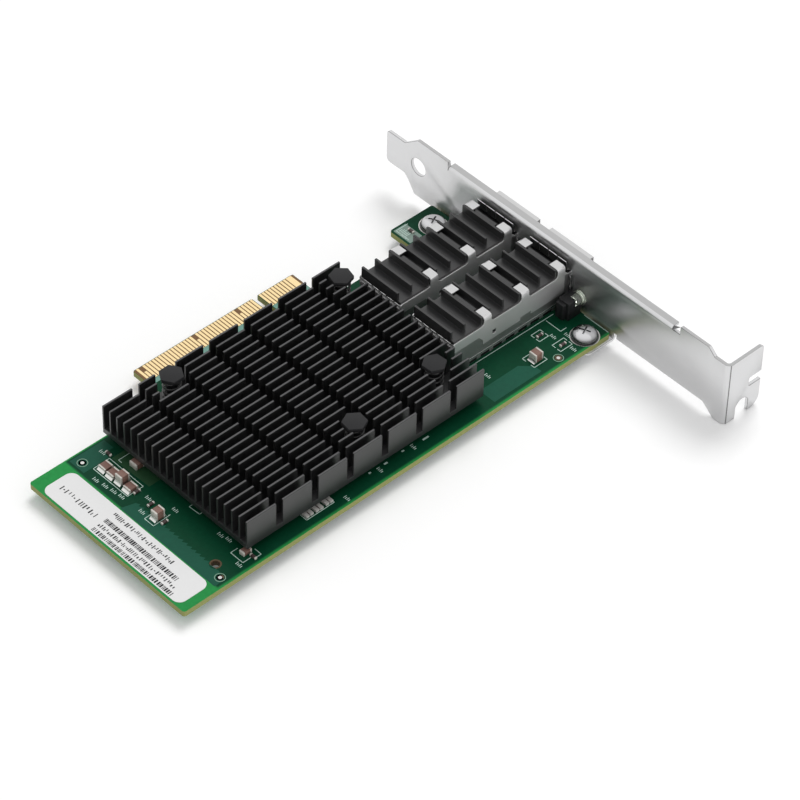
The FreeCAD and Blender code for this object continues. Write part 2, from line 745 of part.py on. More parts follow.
def cage_heat_sink(yc):
    """Small sink: base on the cage, pad through its window, nine fins, three with ribs."""
    y0 = yc - CAGE_HALF
    y1 = yc + CAGE_HALF
    floor = CAGE_TOP + PORT_SINK_BASE
    pad_x = CAGE_X0 + WINDOW_BACK + PORT_PAD_GAP
    pad_half = WINDOW_HALF - PORT_PAD_GAP
    pieces = [block(CAGE_X0, CAGE_X0 + PORT_SINK_LENGTH, y0, y1, CAGE_TOP, floor)]
    pieces.append(block(pad_x, pad_x + WINDOW_LENGTH - 2 * PORT_PAD_GAP, yc - pad_half, yc + pad_half,
                        CAGE_TOP - PORT_PAD_DROP, CAGE_TOP))
    for k in range(len(PORT_FINS)):
        x = CAGE_X0 + PORT_FINS[k]
        front = x + PORT_FIN_THICK
        near = y0 if k in PORT_TAB_FINS else y0 + PORT_FIN_SHORT
        pieces.append(block(x, front, near, y1, floor, PORT_SINK_TOP))
        if k not in PORT_TAB_FINS:
            continue
        pieces.append(block(front, front + RIB_THICK, yc - RIB_HALF, yc + RIB_HALF,
                            floor, PORT_SINK_TOP - RIB_LOWER))
        for side in (-1, 1):
            outer = CAGE_HALF - SEAT_IN
            ends = sorted((yc + side * outer, yc + side * (outer - SEAT_LENGTH)))
            pieces.append(block(front, front + RIB_THICK, ends[0], ends[1], floor, CLIP_TAB_TOP - CLIP_SHEET))
    return fused(pieces)


def bend_flats(y, z, side, r):
    """Corner points of a bend of radius r folded in two flats, from the upright to the top."""
    shift = r * (1 - math.cos(math.radians(45)))
    return [(y, z - r), (y - side * shift, z - shift), (y - side * r, z)]


def clip_tab(x, inner, outer, side):
    """Tab that rises from a cheek and bends in over the small sink, with its widened foot."""
    t = CLIP_SHEET
    x1 = x + CLIP_TAB_WIDTH
    tip = outer - side * CLIP_TAB_REACH
    root = CLIP_TOP - CLIP_FOOT_RISE
    over = bend_flats(outer, CLIP_TAB_TOP, side, CLIP_BEND)
    under = bend_flats(inner, CLIP_TAB_TOP - t, side, CLIP_BEND - t)
    rise = wall([(outer, root)] + over + [(tip, CLIP_TAB_TOP), (tip, CLIP_TAB_TOP - t)]
                + under[::-1] + [(inner, root)], x, x1)
    low = min(inner, outer)
    foot = strip([
        (x - CLIP_FOOT, CLIP_TOP - t), (x1 + CLIP_FOOT, CLIP_TOP - t), (x1 + CLIP_FOOT, CLIP_TOP),
        (x1 + CLIP_FOOT / 3, CLIP_TOP + CLIP_FOOT_RISE / 3), (x1, CLIP_TOP + CLIP_FOOT_RISE),
        (x, CLIP_TOP + CLIP_FOOT_RISE), (x - CLIP_FOOT / 3, CLIP_TOP + CLIP_FOOT_RISE / 3),
        (x - CLIP_FOOT, CLIP_TOP),
    ], low, low + t)
    return [rise, foot]


def clip_side(yc, side):
    """One cheek of the clip: plate with notch and window, arm to the rear bar, three tabs."""
    t = CLIP_SHEET
    inner = yc + side * CAGE_HALF
    outer = inner + side * t
    low = min(inner, outer)
    back = CAGE_X0 - t
    end = CAGE_X0 + CLIP_LENGTH
    first = CLIP_TAB_XS[0] - CLIP_TAB_GAP
    notch = CLIP_TAB_XS[1] - CLIP_TAB_GAP
    notch_top = CLIP_LOW + CLIP_NOTCH_RISE
    cheek = strip([
        (back, CLIP_ARM_LOW), (first - CLIP_STEP_RUN, CLIP_ARM_LOW), (first, CLIP_STEP), (first, CLIP_LOW),
        (notch, CLIP_LOW), (notch, notch_top), (notch + CLIP_NOTCH_LENGTH, notch_top),
        (notch + CLIP_NOTCH_LENGTH, CLIP_LOW), (end, CLIP_LOW, 2 * t), (end, CLIP_TOP), (back, CLIP_TOP, 2 * t),
    ], low, low + t)
    window_x = first + CLIP_WINDOW_IN
    window = block(window_x, window_x + CLIP_WINDOW, low - t, low + 2 * t,
                   CLIP_WINDOW_LOW, CLIP_WINDOW_LOW + CLIP_WINDOW)
    lance_y = sorted((outer, outer + side * LANCE_OUT))
    lance = block(window_x + t, window_x + CLIP_WINDOW - t, lance_y[0], lance_y[1],
                  CLIP_WINDOW_LOW - t, CLIP_WINDOW_LOW)
    pieces = [cheek.cut(window), lance]
    for x in CLIP_TAB_XS:
        pieces += clip_tab(x, inner, outer, side)
    return pieces


def sink_clip(yc):
    """Spring clip: two cheeks joined by a bar across the back of the cage."""
    t = CLIP_SHEET
    half = CAGE_HALF + t
    bar = block(CAGE_X0 - t, CAGE_X0, yc - half, yc + half, CLIP_ARM_LOW, CLIP_ARM_LOW + CLIP_BAR_HEIGHT)
    return fused(clip_side(yc, -1) + clip_side(yc, 1) + [bar])


# ---------------------------------------------------------------- bracket
def bracket_sheet():
    """Flat part of the bracket: foot, lower edge, tongue, flange gap and step to the fold."""
    r = EDGE_R
    relief_end = EDGE_RELIEF_Y + EDGE_RELIEF_WIDTH
    relief_low = FLANGE_TOP - RELIEF_DEPTH
    bend_z = FLANGE_TOP - FLANGE_R
    fold_end = BRACKET_FOLD + FOLD_R
    face = [
        (fold_end, BRACKET_FOOT), (FOOT_END, BRACKET_FOOT, r), (FOOT_END + FOOT_SLOPE, BRACKET_LOW, r),
        (EDGE_RELIEF_Y, BRACKET_LOW), (EDGE_RELIEF_Y, EDGE_RELIEF_TOP),
        (relief_end, EDGE_RELIEF_TOP), (relief_end, BRACKET_LOW),
        (NECK_FOOT_Y, BRACKET_LOW, r), (NECK_BEND_Y, NECK_BEND_Z, 2 * r),
        (NECK_BEND_Y + TONGUE_LOW - NECK_BEND_Z, TONGUE_LOW, r), (BRACKET_TIP, TONGUE_LOW, 2 * r),
        (BRACKET_TIP, TONGUE_HIGH, 1.5 * r), (NECK_Y, TONGUE_HIGH, r), (SLANT_Y, BRACKET_TOP, r),
        (FLANGE_Y1, BRACKET_TOP), (FLANGE_Y1, bend_z), (FLANGE_Y0, bend_z), (FLANGE_Y0, relief_low),
        (FLANGE_Y0 - RELIEF, relief_low), (FLANGE_Y0 - RELIEF, BRACKET_TOP, r / 2),
        (STEP_Y, BRACKET_TOP, r), (STEP_Y - STEP_RUN, FOLD_TOP), (fold_end, FOLD_TOP),
    ]
    return wall(face, BRACKET_IN, BRACKET_OUT)


def bracket_openings():
    """Cutters for the two cage apertures, the tongue's hole and the lamp's hole."""
    x0 = BRACKET_IN - BRACKET_SHEET
    x1 = BRACKET_OUT + BRACKET_SHEET
    grow = CAGE_HALF + APERTURE_GAP
    top = CAGE_TOP + APERTURE_GAP
    low = -APERTURE_GAP
    cuts = []
    for yc in CAGE_YS:
        cuts.append(wall([(yc - grow, low), (yc + grow, low), (yc + grow, top), (yc - grow, top)], x0, x1))
    cuts.append(pipe(x0, x1, BRACKET_TIP - TONGUE_HOLE_FROM_TIP, TONGUE_HOLE_Z, TONGUE_HOLE_R))
    cuts.append(pipe(x0, x1, LENS_Y, LENS_Z, LENS_R + LENS_GAP))
    return cuts


def bracket_flange():
    """Stiffening flange bent outwards along the top edge."""
    inside = FLANGE_R - BRACKET_SHEET
    reach = BRACKET_OUT + FLANGE_REACH
    under = FLANGE_TOP - BRACKET_SHEET
    bend_z = FLANGE_TOP - FLANGE_R
    return strip([
        (BRACKET_IN, bend_z), (BRACKET_IN, FLANGE_TOP, FLANGE_R), (reach, FLANGE_TOP), (reach, under),
        (BRACKET_OUT, under, inside), (BRACKET_OUT, bend_z),
    ], FLANGE_Y0, FLANGE_Y1)


def folded_tab():
    """Tab at the low end, bent outwards, with its notch and the slot for the case screw."""
    end = BRACKET_OUT + FOLD_REACH
    y0 = BRACKET_FOLD
    y1 = BRACKET_FOLD + BRACKET_SHEET
    slot_x = BRACKET_IN + SLOT_FROM_PLATE
    half = SLOT_WIDTH / 2
    arch = 0.99 * half
    foot = BRACKET_FOOT
    side = [
        (BRACKET_OUT, foot), (slot_x - half, foot), (slot_x - half, SLOT_ARCH, arch),
        (slot_x + half, SLOT_ARCH, arch), (slot_x + half, foot), (end, foot, TAB_CORNER_R),
        (end, NOTCH_LOW), (end - NOTCH_DEPTH, NOTCH_LOW, EDGE_R), (end - NOTCH_DEPTH, NOTCH_HIGH, EDGE_R),
        (end, NOTCH_HIGH), (end, FOLD_TOP, 2 * EDGE_R), (BRACKET_OUT, FOLD_TOP),
    ]
    leaf = strip(side, y0, y1)
    bend = plate([
        (BRACKET_IN, y0 + FOLD_R), (BRACKET_IN, y0, FOLD_R), (BRACKET_OUT + FOLD_R, y0),
        (BRACKET_OUT + FOLD_R, y1), (BRACKET_OUT, y1, FOLD_R - BRACKET_SHEET), (BRACKET_OUT, y0 + FOLD_R),
    ], foot, FOLD_TOP)
    return [leaf, bend]


def board_tab(sx, sy):
    """Tab bent in under the board, with the hole the bracket screw runs into."""
    y0 = sy - TAB_WIDTH / 2
    y1 = sy + TAB_WIDTH / 2
    top = -BOARD_THICK
    low = top - BRACKET_SHEET
    tip = BRACKET_OUT - TAB_REACH
    root = BRACKET_OUT - 2 * TAB_BEND_R
    bend = strip([
        (BRACKET_OUT, BRACKET_LOW), (BRACKET_OUT, low, TAB_BEND_R), (root, low), (root, top),
        (BRACKET_IN, top), (BRACKET_IN, BRACKET_LOW),
    ], y0, y1)
    leaf = plate([(tip, y0, TAB_R), (root, y0), (root, y1), (tip, y1, TAB_R)], low, top)
    hole = rod(sx, sy, low - BRACKET_SHEET, 0, SCREW_R + TAB_HOLE_GAP)
    return fused([bend, leaf]).cut(hole)


def bracket():
    """Slot bracket: sheet, flange, folded tab and the two tabs under the board."""
    sheet = bracket_sheet().cut(bracket_openings())
    return fused([sheet, bracket_flange()] + folded_tab() + [board_tab(*place) for place in SCREWS])


def bracket_screw(x, y):
    """Domed screw, seated on the board and run through the bracket's tab."""
    r = SCREW_HEAD_R
    h = SCREW_HEAD_H
    profile = Part.makePolygon([
        V(0, 0, 0), V(r, 0, 0), V(r, 0, SCREW_RIM), V(0.83 * r, 0, 0.77 * h),
        V(0.5 * r, 0, h), V(0, 0, h), V(0, 0, 0),
    ])
    head = Part.Face(profile).revolve(V(0, 0, 0), V(0, 0, 1), 360)
    length = BOARD_THICK + BRACKET_SHEET + SCREW_PAST_TAB
    screw = fused([head, Part.makeCylinder(SCREW_R, length, V(0, 0, -length))])
    screw.translate(V(x, y, 0))
    return screw


# ---------------------------------------------------------------- lamp and small parts
def lead_places():
    """Centres of the lamp's two legs."""
    x = (LAMP_X0 + LAMP_X1) / 2
    return ((x, LAMP_Y0 + LAMP_LEAD_IN), (x, LAMP_Y1 - LAMP_LEAD_IN))


def lamp_holder():
    """Moulded holder with a lower heel and a bored pocket for the lens."""
    body = block(LAMP_X0, LAMP_X1, LAMP_Y0, LAMP_Y1, 0, LAMP_TOP)
    heel = block(LAMP_X0 - LAMP_HEEL, LAMP_X0, LAMP_Y0 + LAMP_HEEL_INSET, LAMP_Y1,
                 0, LAMP_TOP - LAMP_HEEL_LOWER)
    pocket = pipe(LAMP_X1 - LENS_DEPTH, LAMP_X1 + LENS_DEPTH, LENS_Y, LENS_Z, LENS_R)
    return fused([body, heel]).cut(pocket)


def lamp_lens():
    """Clear lens: plug in the holder, rim against it, end out through the bracket."""
    barrel = pipe(LAMP_X1 - LENS_DEPTH, BRACKET_OUT + LENS_PAST, LENS_Y, LENS_Z, LENS_R)
    rim = pipe(LAMP_X1, LAMP_X1 + LENS_RIM, LENS_Y, LENS_Z, LENS_RIM_R)
    return fused([barrel, rim])


def lamp_leads():
    """Two square legs down through the board."""
    h = LAMP_LEAD / 2
    low = -BOARD_THICK - LAMP_LEAD_PAST
    return group([block(x - h, x + h, y - h, y + h, low, 0) for x, y in lead_places()])


def tall_caps():
    """Places of the tall capacitors."""
    back, y0, length, width, height = END_TALL_CAP
    x0 = BOARD_LENGTH - back
    return TALL_CAPS + ((x0, x0 + length, y0, y0 + width, height),)


def capacitor_bodies(places):
    """Ceramic blocks between their end caps."""
    return group([block(x0 + CAP_END, x1 - CAP_END, y0, y1, 0, h) for x0, x1, y0, y1, h in places])


def chip_places():
    """Centre and half-lengths along X and Y of every small two-ended part."""
    along_x = CHIPS_ALONG_X + tuple((BOARD_LENGTH - back, y) for back, y in END_CHIPS_ALONG_X)
    along_y = CHIPS_ALONG_Y
    along_y += ((BOARD_LENGTH - END_CHIP_ON_EAR[0], BOARD_WIDTH + END_CHIP_ON_EAR[1]),)
    long_half = CHIP_LENGTH / 2
    short_half = CHIP_WIDTH / 2
    places = [(x, y, long_half, short_half) for x, y in along_x]
    return places + [(x, y, short_half, long_half) for x, y in along_y]


def chip_bodies():
    """Bodies of the small two-ended parts, between their end caps."""
    bodies = []
    for x, y, hx, hy in chip_places():
        bx = hx - CHIP_END if hx > hy else hx
        by = hy - CHIP_END if hy > hx else hy
        bodies.append(block(x - bx, x + bx, y - by, y + by, 0, CHIP_HEIGHT))
    return group(bodies)


def terminations():
    """Tinned end caps of every small part."""
    caps = []
    for x0, x1, y0, y1, h in LOW_CAPS + tall_caps():
        caps.append(block(x0, x0 + CAP_END, y0, y1, 0, h))
        caps.append(block(x1 - CAP_END, x1, y0, y1, 0, h))
    for x, y, hx, hy in chip_places():
        for side in (-1, 1):
            if hx > hy:
                edges = sorted((x + side * hx, x + side * (hx - CHIP_END)))
                caps.append(block(edges[0], edges[1], y - hy, y + hy, 0, CHIP_HEIGHT))
            else:
                edges = sorted((y + side * hy, y + side * (hy - CHIP_END)))
                caps.append(block(x - hx, x + hx, edges[0], edges[1], 0, CHIP_HEIGHT))
    return group(caps)


def power_inductors():
    """Square moulded coils under the board, corners cut."""
    s = INDUCTOR_SIDE / 2
    c = INDUCTOR_CORNER
    x = CAGE_X0 + INDUCTOR_FROM_CAGE
    coils = []
    for y in INDUCTOR_YS:
        corners = [(x - s + c, y - s), (x + s - c, y - s), (x + s, y - s + c), (x + s, y + s - c),
                   (x + s - c, y + s), (x - s + c, y + s), (x - s, y + s - c), (x - s, y - s + c)]
        coils.append(plate(corners, -BOARD_THICK - INDUCTOR_H, -BOARD_THICK))
    return group(coils)


# ---------------------------------------------------------------- export
def all_nodes():
    """Every node's name and shape."""
    lid_low = CHIP_THICK
    pad_low = CHIP_THICK + LID_THICK
    pad_side = LID_SIDE - 2 * PAD_INSET
    nodes = {
        "circuit_board": circuit_board(),
        "edge_contacts_top": contact_row(0, PAD_THICK, True),
        "edge_contacts_bottom": contact_row(-BOARD_THICK - PAD_THICK, -BOARD_THICK, False),
        "board_label": board_label(),
        "controller_substrate": controller_layer(CHIP_SIDE, 0, lid_low),
        "controller_lid": controller_layer(LID_SIDE, lid_low, pad_low),
        "thermal_pad": controller_layer(pad_side, pad_low, SINK_BOTTOM),
        "main_heat_sink": main_heat_sink(),
        "push_pins": group([push_pin(*pin) for pin in PINS]),
        "pin_springs": group([coil_spring(x, y, SINK_FLOOR, PIN_NECK) for x, y, turn in PINS]),
        "bracket": bracket(),
        "bracket_screws": group([bracket_screw(*screw) for screw in SCREWS]),
        "lamp_holder": lamp_holder(),
        "lamp_lens": lamp_lens(),
        "lamp_leads": lamp_leads(),
        "capacitors_low": capacitor_bodies(LOW_CAPS),
        "capacitors_tall": capacitor_bodies(tall_caps()),
        "chip_resistors": chip_bodies(),
        "terminations": terminations(),
        "memory_chip": below(*MEMORY),
        "clock_crystal": below(*CRYSTAL),
        "power_inductors": power_inductors(),
    }
    for k in range(len(CAGE_YS)):
        yc = CAGE_YS[k]
        tag = "_%d" % (k + 1)
        nodes["port_cage" + tag] = port_cage(yc)
        nodes["port_socket" + tag] = port_socket(yc)
        nodes["socket_contacts" + tag] = socket_contacts(yc)
        nodes["shield_collar" + tag] = shield_collar(yc)
        nodes["cage_heat_sink" + tag] = cage_heat_sink(yc)
        nodes["sink_clip" + tag] = sink_clip(yc)
    return nodes


def export_all():
    """Move every node to the row frame and write it."""
    os.makedirs("parts", exist_ok=True)
    reach = BRACKET_OUT + FOLD_REACH
    shift = V(-reach / 2, -(BRACKET_TIP + BRACKET_FOLD) / 2, -BRACKET_FOOT)
    for name, shape in all_nodes().items():
        shape.translate(shift)
        shape.exportStep("parts/" + name + ".step")


export_all()
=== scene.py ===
"""Looks for a plug-in network card with two optical module cages and a slot bracket."""
import logging
import math
import random
from dataclasses import dataclass, field
from enum import Enum
from typing import Iterable, Sequence

import bmesh
import bpy
from mathutils import Matrix, Vector
from mathutils.bvhtree import BVHTree


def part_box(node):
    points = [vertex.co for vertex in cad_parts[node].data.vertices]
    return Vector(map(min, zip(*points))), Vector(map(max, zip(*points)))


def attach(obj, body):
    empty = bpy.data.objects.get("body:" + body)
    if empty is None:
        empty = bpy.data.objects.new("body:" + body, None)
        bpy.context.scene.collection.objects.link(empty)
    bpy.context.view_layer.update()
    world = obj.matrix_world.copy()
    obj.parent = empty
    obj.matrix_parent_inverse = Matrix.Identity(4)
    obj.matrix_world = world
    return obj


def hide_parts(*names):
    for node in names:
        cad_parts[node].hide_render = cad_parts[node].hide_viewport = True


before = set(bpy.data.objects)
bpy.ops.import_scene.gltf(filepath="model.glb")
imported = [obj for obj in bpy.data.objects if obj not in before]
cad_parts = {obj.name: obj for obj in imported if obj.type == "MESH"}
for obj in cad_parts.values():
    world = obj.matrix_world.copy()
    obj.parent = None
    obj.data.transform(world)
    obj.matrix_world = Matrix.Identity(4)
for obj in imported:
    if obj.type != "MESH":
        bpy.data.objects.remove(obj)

LOG = logging.getLogger("network_card")
MM = 0.001
WELD = 0.002 * MM
BUMP_DEPTH = 0.02 * MM
BOARD_THICK = 1.6
EASED_ANGLE = 35.0
SEED = 41
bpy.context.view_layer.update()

Colour = tuple[float, float, float]
Point = tuple[float, float]
Box = tuple[float, float, float, float]


class Slot(Enum):
    """Material slots of the record."""

    BOARD = "board"
    LABEL = "label"
    BLACK_ANODISED = "black_anodised"
    PIN_PLASTIC = "pin_plastic"
    SPRING_STEEL = "spring_steel"
    PLATED_SHEET = "plated_sheet"
    BRACKET_STEEL = "bracket_steel"
    SCREW_STEEL = "screw_steel"
    LAMP_PLASTIC = "lamp_plastic"
    TIN = "tin"
    CERAMIC_BROWN = "ceramic_brown"
    CERAMIC_DARK = "ceramic_dark"


class Grain(Enum):
    """Patterns that a finish can carry."""

    FINE = "fine"
    BRUSHED = "brushed"


# ------------------------------------------------------------------ measuring
@dataclass(frozen=True)
class CardSpace:
    """Turns millimetres on the card into metres in the row's frame.

    The card's own origin is the near corner of the board's free end, on its component face.
    """

    origin: Vector

    @classmethod
    def from_board(cls) -> "CardSpace":
        """Reads the origin off the board's box."""
        low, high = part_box("circuit_board")
        return cls(Vector((low.x, low.y, high.z)))

    def at(self, x: float, y: float, z: float = 0.0) -> Vector:
        """Gives the place of a point stated in card millimetres."""
        return self.origin + Vector((x, y, z)) * MM

    def box(self, node: str) -> tuple[Vector, Vector]:
        """Gives a node's low and high corners in card millimetres."""
        low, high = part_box(node)
        return (low - self.origin) / MM, (high - self.origin) / MM


SPACE = CardSpace.from_board()


# ------------------------------------------------------------------ shader groups
class NodeGraph:
    """Adds and joins nodes in one shader tree."""

    def __init__(self, tree: bpy.types.NodeTree) -> None:
        """Starts on a tree.

        Args:
            tree: The node tree of a material, a world or a group.
        """
        self.tree = tree

    def add(self, kind: str, values: dict[str, object] | None = None,
            **settings: object) -> bpy.types.Node:
        """Adds a node, sets its properties and then the values of its inputs."""
        node = self.tree.nodes.new(kind)
        for name, value in settings.items():
            setattr(node, name, value)
        for name, value in (values or {}).items():
            node.inputs[name].default_value = value
        return node

    def join(self, source: bpy.types.NodeSocket, target: bpy.types.NodeSocket) -> None:
        """Links one socket to another."""
        self.tree.links.new(source, target)

    def math(self, operation: str, first: object, second: object = 0.0) -> bpy.types.NodeSocket:
        """Adds a maths node whose inputs are sockets or numbers.

        Returns:
            The result's socket.
        """
        node = self.add("ShaderNodeMath", operation=operation)
        for place, value in enumerate((first, second)):
            if isinstance(value, bpy.types.NodeSocket):
                self.join(value, node.inputs[place])
            else:
                node.inputs[place].default_value = value
        return node.outputs[0]

    def span(self, value: bpy.types.NodeSocket, low: float, high: float) -> bpy.types.NodeSocket:
        """Maps a value smoothly from low..high to 0..1."""
        node = self.add("ShaderNodeMapRange", {"From Min": low, "From Max": high},
                        interpolation_type="SMOOTHSTEP")
        self.join(value, node.inputs["Value"])
        return node.outputs[0]

    def mix(self, mask: object, first: object, second: object) -> bpy.types.NodeSocket:
        """Mixes two colours by a mask; each colour is a socket or an RGB triple."""
        node = self.add("ShaderNodeMix", data_type="RGBA")
        for place, value in ((0, mask), (6, first), (7, second)):
            if isinstance(value, bpy.types.NodeSocket):
                self.join(value, node.inputs[place])
            elif place == 0:
                node.inputs[0].default_value = value
            else:
                node.inputs[place].default_value = (*value, 1.0)
        return node.outputs[2]


def new_group(
    name: str, inputs: Sequence[tuple[str, str, object]], outputs: Sequence[tuple[str, str]]
) -> tuple[bpy.types.NodeTree, NodeGraph, bpy.types.Node, bpy.types.Node]:
    """Makes a shader node group with named sockets.

    Args:
        name: The group's name.
        inputs: Name, socket kind and starting value of each input.
        outputs: Name and socket kind of each output.

    Returns:
        The group, its graph, and its input and output nodes.
    """
    tree = bpy.data.node_groups.new(name, "ShaderNodeTree")
    for label, kind, value in inputs:
        socket = tree.interface.new_socket(name=label, in_out="INPUT", socket_type=kind)
        socket.default_value = value
    for label, kind in outputs:
        tree.interface.new_socket(name=label, in_out="OUTPUT", socket_type=kind)
    graph = NodeGraph(tree)
    return tree, graph, graph.add("NodeGroupInput"), graph.add("NodeGroupOutput")


FLOAT = "NodeSocketFloat"
COLOUR = "NodeSocketColor"


def grain_group(kind: Grain) -> bpy.types.NodeTree:
    """Builds the group that breaks up a surface's colour, roughness and height.

    Args:
        kind: Fine all-round grain, or streaks drawn out along the bracket.

    Returns:
        A group with Colour, Roughness and Height outputs.
    """
    inputs = [("Colour", COLOUR, (0.5, 0.5, 0.5, 1.0)), ("Tone", FLOAT, 0.1),
              ("Roughness", FLOAT, 0.4), ("Unevenness", FLOAT, 0.1), ("Scale", FLOAT, 1500.0)]
    outputs = [("Colour", COLOUR), ("Roughness", FLOAT), ("Height", FLOAT)]
    tree, graph, source, result = new_group(f"{kind.value}_grain", inputs, outputs)
    place = graph.add("ShaderNodeTexCoord")
    stretch = graph.add("ShaderNodeMapping")
    if kind is Grain.BRUSHED:
        stretch.inputs["Scale"].default_value = (1.0, 0.03, 1.0)
    graph.join(place.outputs["Object"], stretch.inputs["Vector"])
    small = graph.add("ShaderNodeTexNoise", {"Detail": 3.0})
    graph.join(stretch.outputs["Vector"], small.inputs["Vector"])
    graph.join(source.outputs["Scale"], small.inputs["Scale"])
    broad = graph.add("ShaderNodeTexNoise", {"Detail": 2.0})
    graph.join(place.outputs["Object"], broad.inputs["Vector"])
    graph.join(graph.math("MULTIPLY", source.outputs["Scale"], 0.05), broad.inputs["Scale"])
    both = graph.math("ADD", small.outputs["Fac"], broad.outputs["Fac"])
    swing = graph.math("SUBTRACT", both, 1.0)
    gain = graph.math("ADD", graph.math("MULTIPLY", swing, source.outputs["Tone"]), 1.0)
    toned = graph.add("ShaderNodeVectorMath", operation="SCALE")
    graph.join(source.outputs["Colour"], toned.inputs[0])
    graph.join(gain, toned.inputs["Scale"])
    graph.join(toned.outputs[0], result.inputs["Colour"])
    rough = graph.math("ADD", graph.math("MULTIPLY", swing, source.outputs["Unevenness"]),
                       source.outputs["Roughness"])
    graph.join(rough, result.inputs["Roughness"])
    graph.join(small.outputs["Fac"], result.inputs["Height"])
    return tree


GRAINS = {kind: grain_group(kind) for kind in Grain}


def grain_node(graph: NodeGraph, kind: Grain, tone: float, roughness: float, unevenness: float,
               scale: float) -> bpy.types.Node:
    """Adds a grain group with its settings to a material."""
    values = {"Tone": tone, "Roughness": roughness, "Unevenness": unevenness, "Scale": scale}
    return graph.add("ShaderNodeGroup", values, node_tree=GRAINS[kind])


def seen_rays(graph: NodeGraph) -> bpy.types.NodeSocket:
    """Gives 1 for what the camera, a mirror or a clear body shows, and 0 for what lights."""
    path = graph.add("ShaderNodeLightPath")
    seen = graph.math("MAXIMUM", path.outputs["Is Camera Ray"], path.outputs["Is Glossy Ray"])
    return graph.math("MAXIMUM", seen, path.outputs["Is Transmission Ray"])


# ------------------------------------------------------------------ finishes
@dataclass(frozen=True)
class Finish:
    """A surface: its colour, gloss and the grain it carries."""

    name: str
    colour: Colour
    metallic: float = 0.0
    roughness: float = 0.5
    tone: float = 0.12
    unevenness: float = 0.1
    scale: float = 1500.0
    bump: float = 0.05
    specular: float = 0.5
    grain: Grain = Grain.FINE
    # Painted shade: a darker colour laid on a finish's steeper faces.
    steep_shade: Colour | None = None
    steep_shade_span: tuple[float, float] = (0.35, 0.97)

    def material(self) -> bpy.types.Material:
        """Builds the material, or hands back the one already built."""
        ready = bpy.data.materials.get(self.name)
        if ready is not None:
            return ready
        material, graph, shader = plain_material(self.name)
        grain = grain_node(graph, self.grain, self.tone, self.roughness, self.unevenness,
                           self.scale)
        grain.inputs["Colour"].default_value = (*self.colour, 1.0)
        # Painted shade: faces steeper than the span take the steep colour in place of the finish's
        # own.
        if self.steep_shade is not None:
            surface = graph.add("ShaderNodeNewGeometry")
            axes = graph.add("ShaderNodeSeparateXYZ")
            graph.join(surface.outputs["Normal"], axes.inputs[0])
            steep_shade_mask = graph.span(axes.outputs["Z"], *self.steep_shade_span)
            graph.join(graph.mix(steep_shade_mask, self.steep_shade, self.colour), grain.inputs["Colour"])
        graph.join(grain.outputs["Colour"], shader.inputs["Base Color"])
        graph.join(grain.outputs["Roughness"], shader.inputs["Roughness"])
        shader.inputs["Metallic"].default_value = self.metallic
        shader.inputs["Specular IOR Level"].default_value = self.specular
        add_bump(graph, shader, grain.outputs["Height"], self.bump)
        return material


def plain_material(name: str) -> tuple[bpy.types.Material, NodeGraph, bpy.types.Node]:
    """Makes a material with nothing but a Principled shader.

    Returns:
        The material, its graph and its shader node.
    """
    material = bpy.data.materials.new(name)
    material.use_nodes = True
    shader = material.node_tree.nodes["Principled BSDF"]
    return material, NodeGraph(material.node_tree), shader


def add_bump(graph: NodeGraph, shader: bpy.types.Node, height: bpy.types.NodeSocket,
             strength: float) -> None:
    """Feeds a height into the shader's normal."""
    bump = graph.add("ShaderNodeBump", {"Strength": strength, "Distance": BUMP_DEPTH})
    graph.join(height, bump.inputs["Height"])
    graph.join(bump.outputs["Normal"], shader.inputs["Normal"])


